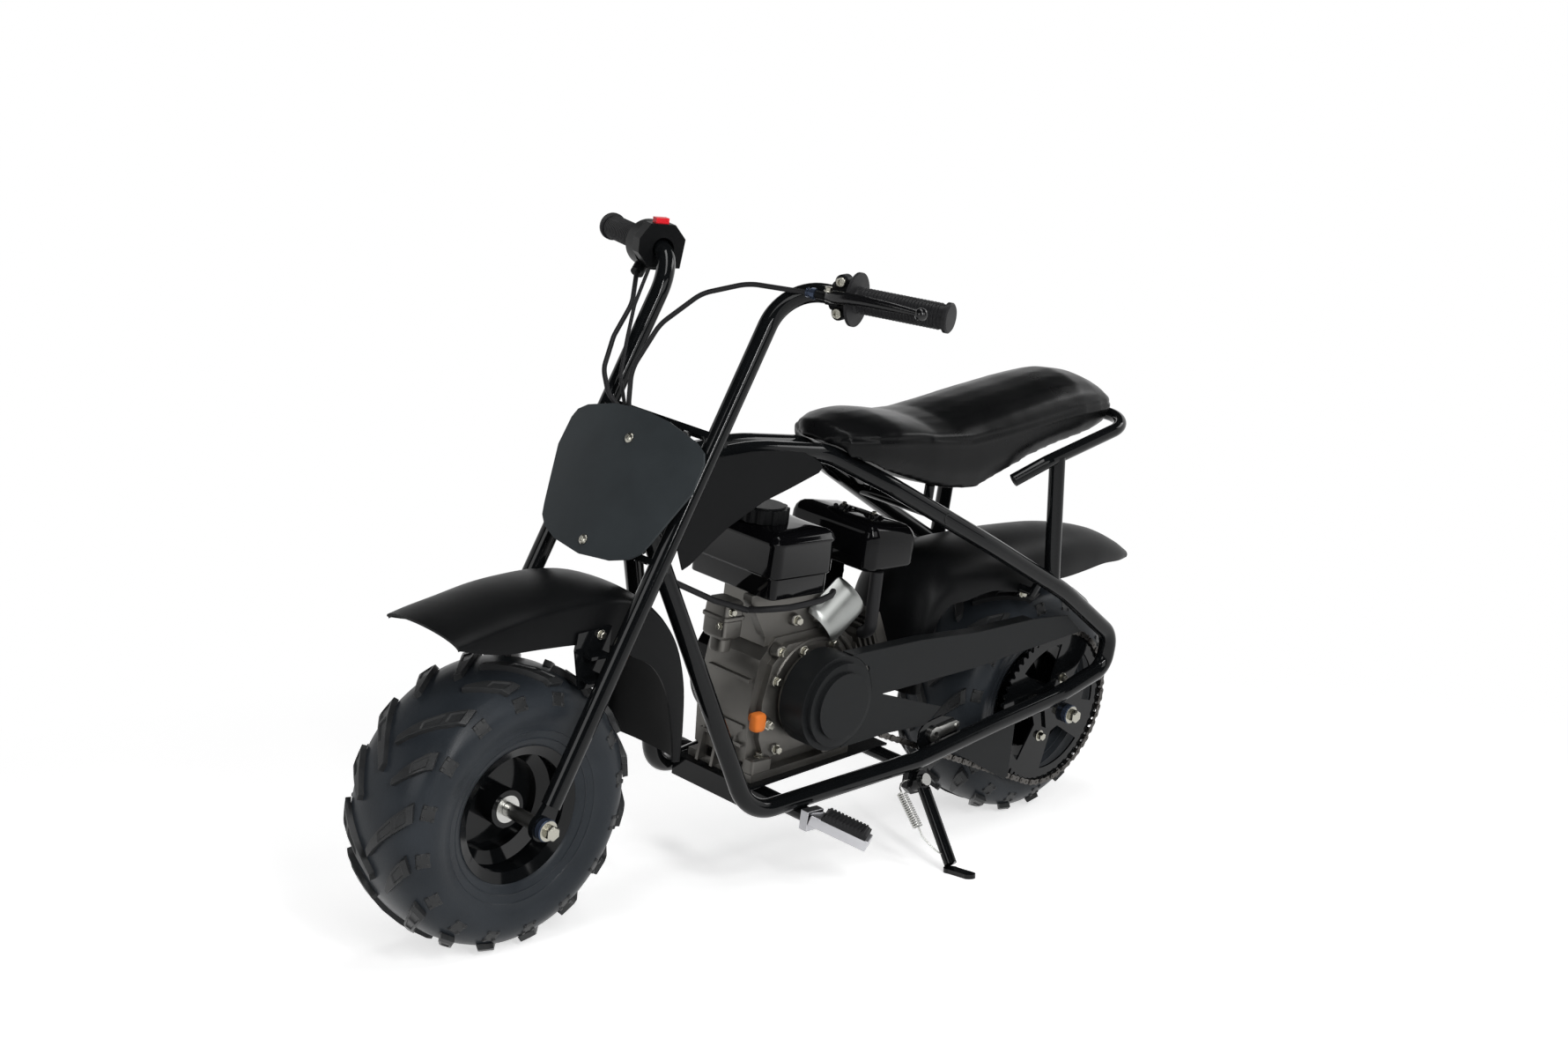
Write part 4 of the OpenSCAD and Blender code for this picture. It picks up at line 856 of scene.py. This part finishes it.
def arc_rib(r0, r1, y0, y1, start, end, steps=30):
    """Raised rib that follows an arc round the crankshaft, with rounded shoulders."""
    store, sections = store_for("casting", "frame"), []
    for k in range(steps + 1):
        a = math.radians(start + (end - start) * k / steps)
        pinch = 0.35 + 0.65 * min(1.0, min(k, steps - k) / 2)
        m, h = (r0 + r1) / 2, (r1 - r0) / 2 * pinch
        section = [(m - h, y0), (m - h, y1 - 2), (m - h + 1.6, y1),
                   (m + h - 1.6, y1), (m + h, y1 - 2), (m + h, y0)]
        sections.append([mm(CRANK[0] + r * math.cos(a), y, CRANK[1] + r * math.sin(a)) for r, y in section])
    rings(store, sections)


def boss(x, y, z, radius, tall, across, turn=0.3):
    """Cast boss on the left face of the engine, with its bolt."""
    turned(store_for("casting", "frame"), mm(x, y, z), way(0, 1, 0),
           [(-6, radius + 2), (0, radius + 0.8), (tall - 1.2, radius), (tall, radius - 1.2)], 28)
    bolt(mm(x, y + tall, z), way(0, 1, 0), across, turn=turn)


arc_rib(83, 90, 48, 55.5, 118, 212)
arc_rib(72, 76, 49, 53.5, 20, 235)
boss(524, 35, 368, 8, 9, 10)
boss(556, 48, 331, 8, 6, 10, 0.7)
boss(480, 35, 366, 7, 7, 8, 0.1)
boss(541, 48, 192, 7, 4, 10)
for x, z0 in ((566, 166), (430, 176)):
    rings(store_for("casting", "frame"), [corner_ring(x, 44, 19 - step, 11 - step, 4, z)
                                          for z, step in ((z0 - 6, 0), (z0 + 15, 0.6), (z0 + 17.4, 3))])
    bolt(mm(x, 46, z0 + 17.4), way(0, 0, 1), 9)
# carburettor body and its bowl in front of the cylinder
for hx, hy, corner, rows in (
        (17, 21, 5, ((346, 5), (348, 2), (352, 0), (372, 0), (374, -2),
                     (378, -2), (380, 0), (396, 1), (399, 4))),
        (12, 13, 9, ((326, 5), (328, 1), (331, 0), (346, 0)))):
    rings(store_for("casting", "frame"),
          [corner_ring(622, 4, hx - step, hy - step, corner, z) for z, step in rows])
bolt(mm(638, 16, 366), way(1, 0, 0), 7)
bolt(mm(628, 24, 386), way(0, 1, 0), 8)
# the wires go on from the end of the loom, below the tank's edge
tube_along(store_for("rubber", "frame"), [mm(*p) for p in (
    (604, 31, 388.5), (596, 46, 392), (584, 60, 396), (566, 65.6, 397),
    (540, 66, 398), (508, 66, 400), (486, 64, 404), (474, 56, 406))], 4.4, 12)
# dipstick cap of the oil filler: a rounded paddle on its neck
HALF_WIDE, HALF_TALL, CORNER_R = 10, 13, 5.5
paddle, paddle_rings = ([], []), []
for y, step in ((51, 2), (52.5, 0.4), (54, 0), (61, 0), (64, 0.8), (65.6, 2.6), (66, 4)):
    flat_x, flat_z = HALF_WIDE - CORNER_R - step, HALF_TALL - CORNER_R - step
    paddle_rings.append([mm(589 + qx * flat_x + CORNER_R * math.cos(math.radians(a)), y,
                            240 + qz * flat_z + CORNER_R * math.sin(math.radians(a)))
                         for qx, qz, first in ((1, 1, 0), (-1, 1, 90), (-1, -1, 180), (1, -1, 270))
                         for a in range(first, first + 91, 15)])
rings(paddle, paddle_rings)
turned(paddle, mm(583, 40, 240), way(0, 1, 0), [(0, 6), (12, 6), (12.6, 7.5), (14, 7.5)], 24)
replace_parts(piece("dipstick_cap", *paddle, "orange", "frame", sharp=50), "oil_plug")
print("shield, ribs and bosses")

# %% [markdown]
# The brake lever is a forged blade that swells in the middle and ends in a ball. Its perch is a split
# clamp with two socket screws, and the cable leaves it through a knurled adjuster.

# %% Brake lever
SWEEP = math.radians(19.2)
FORK_Y, GRIP_Z = 99, 831  # half the distance between the fork tubes, and height of the grips
BAR_X = WHEELBASE / MM - (GRIP_Z - HUB_Z) * math.tan(RAKE)


def on_bar(y, ahead_mm, up):
    """Place measured along the left grip: distance out, ahead of the bar and above it."""
    return mm(BAR_X - (y - FORK_Y) * math.tan(SWEEP) + ahead_mm * math.cos(SWEEP),
              y + ahead_mm * math.sin(SWEEP), GRIP_Z + up)


ahead_way = way(math.cos(SWEEP), math.sin(SWEEP), 0)
# distance out, ahead, up, half height and half thickness
blade_rows = through_rows([
    (163, 28, 1, 6, 5.5), (172, 34, 3, 7.6, 5), (186, 40, 5, 7.6, 4.4), (214, 46, 7, 6.8, 4),
    (246, 50, 7.5, 6, 3.8), (272, 52.5, 7, 5, 3.8), (284, 53.6, 6.5, 4.6, 4)], 5)
BALL_R = 7.9
blade = ([], [])
rings(blade, [[on_bar(y, ahead_mm + t * math.cos(a), up + h * math.sin(a))
               for a in np.linspace(0, math.tau, 20, endpoint=False)]
              for y, ahead_mm, up, h, t in blade_rows])
turned(blade, on_bar(281, 54, 6.5), (on_bar(290, 54, 6.5) - on_bar(280, 54, 6.5)).normalized(),
       [(8 - BALL_R * math.cos(a), max(0.3, BALL_R * math.sin(a)))
        for a in np.linspace(0.1, math.pi - 0.02, 14)], 24)
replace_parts(piece("lever_blade", *blade, "lever_black", "steering", sharp=40), "brake_lever")
for up in (19, -19):
    turned(store_for("satin_black", "steering"), on_bar(172, -6, up), ahead_way,
           [(0, 8), (0.6, 9), (15, 9), (16.4, 7.6)], 24)
    turned(store_for("zinc", "steering"), on_bar(172, 10.4, up), ahead_way,
           [(0, 6.2), (3.6, 6.2), (4.4, 5.4), (4.4, 3.4), (1.4, 3.2)], 24)
cable_way = (on_bar(140, 24, 1) - on_bar(150, 24, 0.8)).normalized()
turned(store_for("blued_steel", "steering"), on_bar(148, 24, 0.9), cable_way,
       [(0, 5.2), (0.4, 7.2), (5.4, 7.2), (6, 5.4), (9, 5.2), (9.4, 6), (12, 6), (12.4, 4)], 12)
bolt(on_bar(166, 31, 8), way(0, 0, 1), 8, "zinc", "steering")
print("lever and perch")

# %% [markdown]
# The return spring of the side stand is wound wire with a hook at each end, and each foot peg has a
# rubber pad with shallow ribs bowed like its mould.

# %% Stand spring and peg rubbers
def coil(name, low, high, radius, wire, turns, lead_low, lead_high, look, node, per_turn=14):
    """Wound spring between two places, with a lead of straight wire at each end."""
    low, high = mm(*low), mm(*high)
    axis = (high - low).normalized()
    side = axis.orthogonal().normalized()
    other = axis.cross(side)
    path = [mm(*p) for p in lead_low]
    steps = turns * per_turn
    for k in range(steps + 1):
        a = math.tau * k / per_turn
        path.append(low + (high - low) * (k / steps)
                    + (side * math.cos(a) + other * math.sin(a)) * radius * MM)
    path += [mm(*p) for p in lead_high]
    store = ([], [])
    tube_along(store, path, wire, 8)
    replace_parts(piece(name, *store, look, body_of[node], sharp=60), node)


coil("spring_coils", (357, 164, 86), (360, 129, 124), 6.0, 1.25, 16,
     [(330, 197, 56), (336, 199, 55), (344, 196, 58), (351, 188, 65), (357, 174, 76)],
     [(360, 125, 129), (356, 122, 134), (347, 120.5, 137), (336, 120, 136)], "steel", "stand_spring")


PEG_ROOT = (530, 125, 127)
PEG_DROOP, PEG_SWEEP = math.radians(-14), math.radians(30)
RIB_BOW, PAD_HALF = 2.6, 17


def on_peg(across_mm, along, up, side):
    """Place on a foot peg: across it, along it from its root, and above its face."""
    y = along * math.cos(PEG_DROOP) - up * math.sin(PEG_DROOP)
    z = along * math.sin(PEG_DROOP) + up * math.cos(PEG_DROOP)
    x, y = (across_mm * math.cos(PEG_SWEEP) - y * math.sin(PEG_SWEEP),
            across_mm * math.sin(PEG_SWEEP) + y * math.cos(PEG_SWEEP))
    return mm(PEG_ROOT[0] + x, side * (PEG_ROOT[1] + y), PEG_ROOT[2] + z)


pads = ([], [])
for side in (1, -1):
    stops = [(14, 5), (14.6, 8.5)]
    y = 16.5
    while y < 74:
        stops += [(y, 10.4), (y + 0.7, 12.2), (y + 3.0, 12.2), (y + 3.7, 10.4)]
        y += 5.3
    stops += [(75.5, 9.5), (78.4, 5)]
    sections = []
    for y, tall in stops:
        section = [(-17, 0), (-17.6, 3), (-17, 6), (-14.5, tall - 2), (-10, tall - 0.3), (0, tall + 0.4),
                   (10, tall - 0.3), (14.5, tall - 2), (17, 6), (17.6, 3), (17, 0)]
        bow = RIB_BOW * (1 if y < 70 else 0.2)
        sections.append([on_peg(x, y + bow * (1 - (x / PAD_HALF) ** 2), h, side) for x, h in section])
    rings(pads, sections)
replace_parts(piece("peg_pads", *pads, "rubber", "frame", sharp=32), "peg_rubbers")
print("spring and pads")

# %% [markdown]
# Zinc plated bolts close both axles, over dark spacers.

# %% Axle ends
SPACER = 9
for x, y, body in ((WHEELBASE / MM, 103.2, "steering"), (0, 122.2, "frame")):
    for side in (1, -1):
        turned(store_for("blued_steel", body), mm(x, side * y, HUB_Z), way(0, side, 0),
               [(0, 13), (0.6, 14), (SPACER - 0.6, 14), (SPACER, 13)], 32)
        bolt(mm(x, side * (y + SPACER), HUB_Z), way(0, side, 0), 17, "zinc", body)
print("axle ends")

# %% [markdown]
# The last of the small hardware: bolts round the crankcase, rivets with bolts on the number plate, and
# the ribbed rubber grips. Then each store of hardware becomes one piece.

# %% Hardware
for angle, reach_mm in ((20, 74), (68, 66), (115, 72), (160, 70), (205, 78), (335, 82)):
    a = math.radians(angle)
    bolt(mm(CRANK[0] + reach_mm * math.cos(a), 55, CRANK[1] + reach_mm * math.sin(a)), way(0, 1, 0), 10)


PLATE_Z = 570  # height on the fork's line of the number plate's middle


def plate_spot(s, ahead_mm):
    """Point on the middle line of the number plate: s along the fork, and distance ahead of it."""
    cr, sr = math.cos(RAKE), math.sin(RAKE)
    x = WHEELBASE / MM - (PLATE_Z - HUB_Z) * math.tan(RAKE) + ahead_mm * cr - s * sr
    return mm(x, 0, PLATE_Z + ahead_mm * sr + s * cr)


fork_out = way(math.cos(RAKE), 0, math.sin(RAKE))
for s in (44, -92):
    rivet(plate_spot(s, 37), fork_out, 6.5, "zinc", "steering")
    bolt(plate_spot(s, 38.5), fork_out, 6, "zinc", "steering", washer=False)

GRIP_START, GRIP_END, WIDE_FLANGE_R, FLANGE_R = 187, 305, 33, 20
for side, name in ((1, "grip_left"), (-1, "grip_right")):
    store = ([], [])
    outward = way(-math.sin(SWEEP), side * math.cos(SWEEP), 0)
    start = mm(BAR_X - (GRIP_START - FORK_Y) * math.tan(SWEEP), side * GRIP_START, GRIP_Z)
    length = (GRIP_END - GRIP_START) / math.cos(SWEEP)
    flange = WIDE_FLANGE_R if side > 0 else FLANGE_R
    rows = [(0, 12.4), (0, flange), (4, flange), (4.6, 17)]
    y = 8.0
    while y < length - 12:
        rows += [(y, 15.0), (y + 0.5, 16.2), (y + 2.0, 16.2), (y + 2.5, 15.0)]
        y += 4.4
    rows += [(length - 7, 15.2), (length - 6, 18.4), (length - 1.5, 18.4), (length, 16.5), (length, 6)]
    turned(store, start, outward, rows, 40)
    grip = piece(name + "_rubber", *store, "rubber", "steering", sharp=30)
    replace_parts(grip, name)

for (look, body), store in hardware.items():
    piece(f"{look}_hardware_{body}", *store, look, body, sharp=30)
print("hardware groups:", len(hardware))
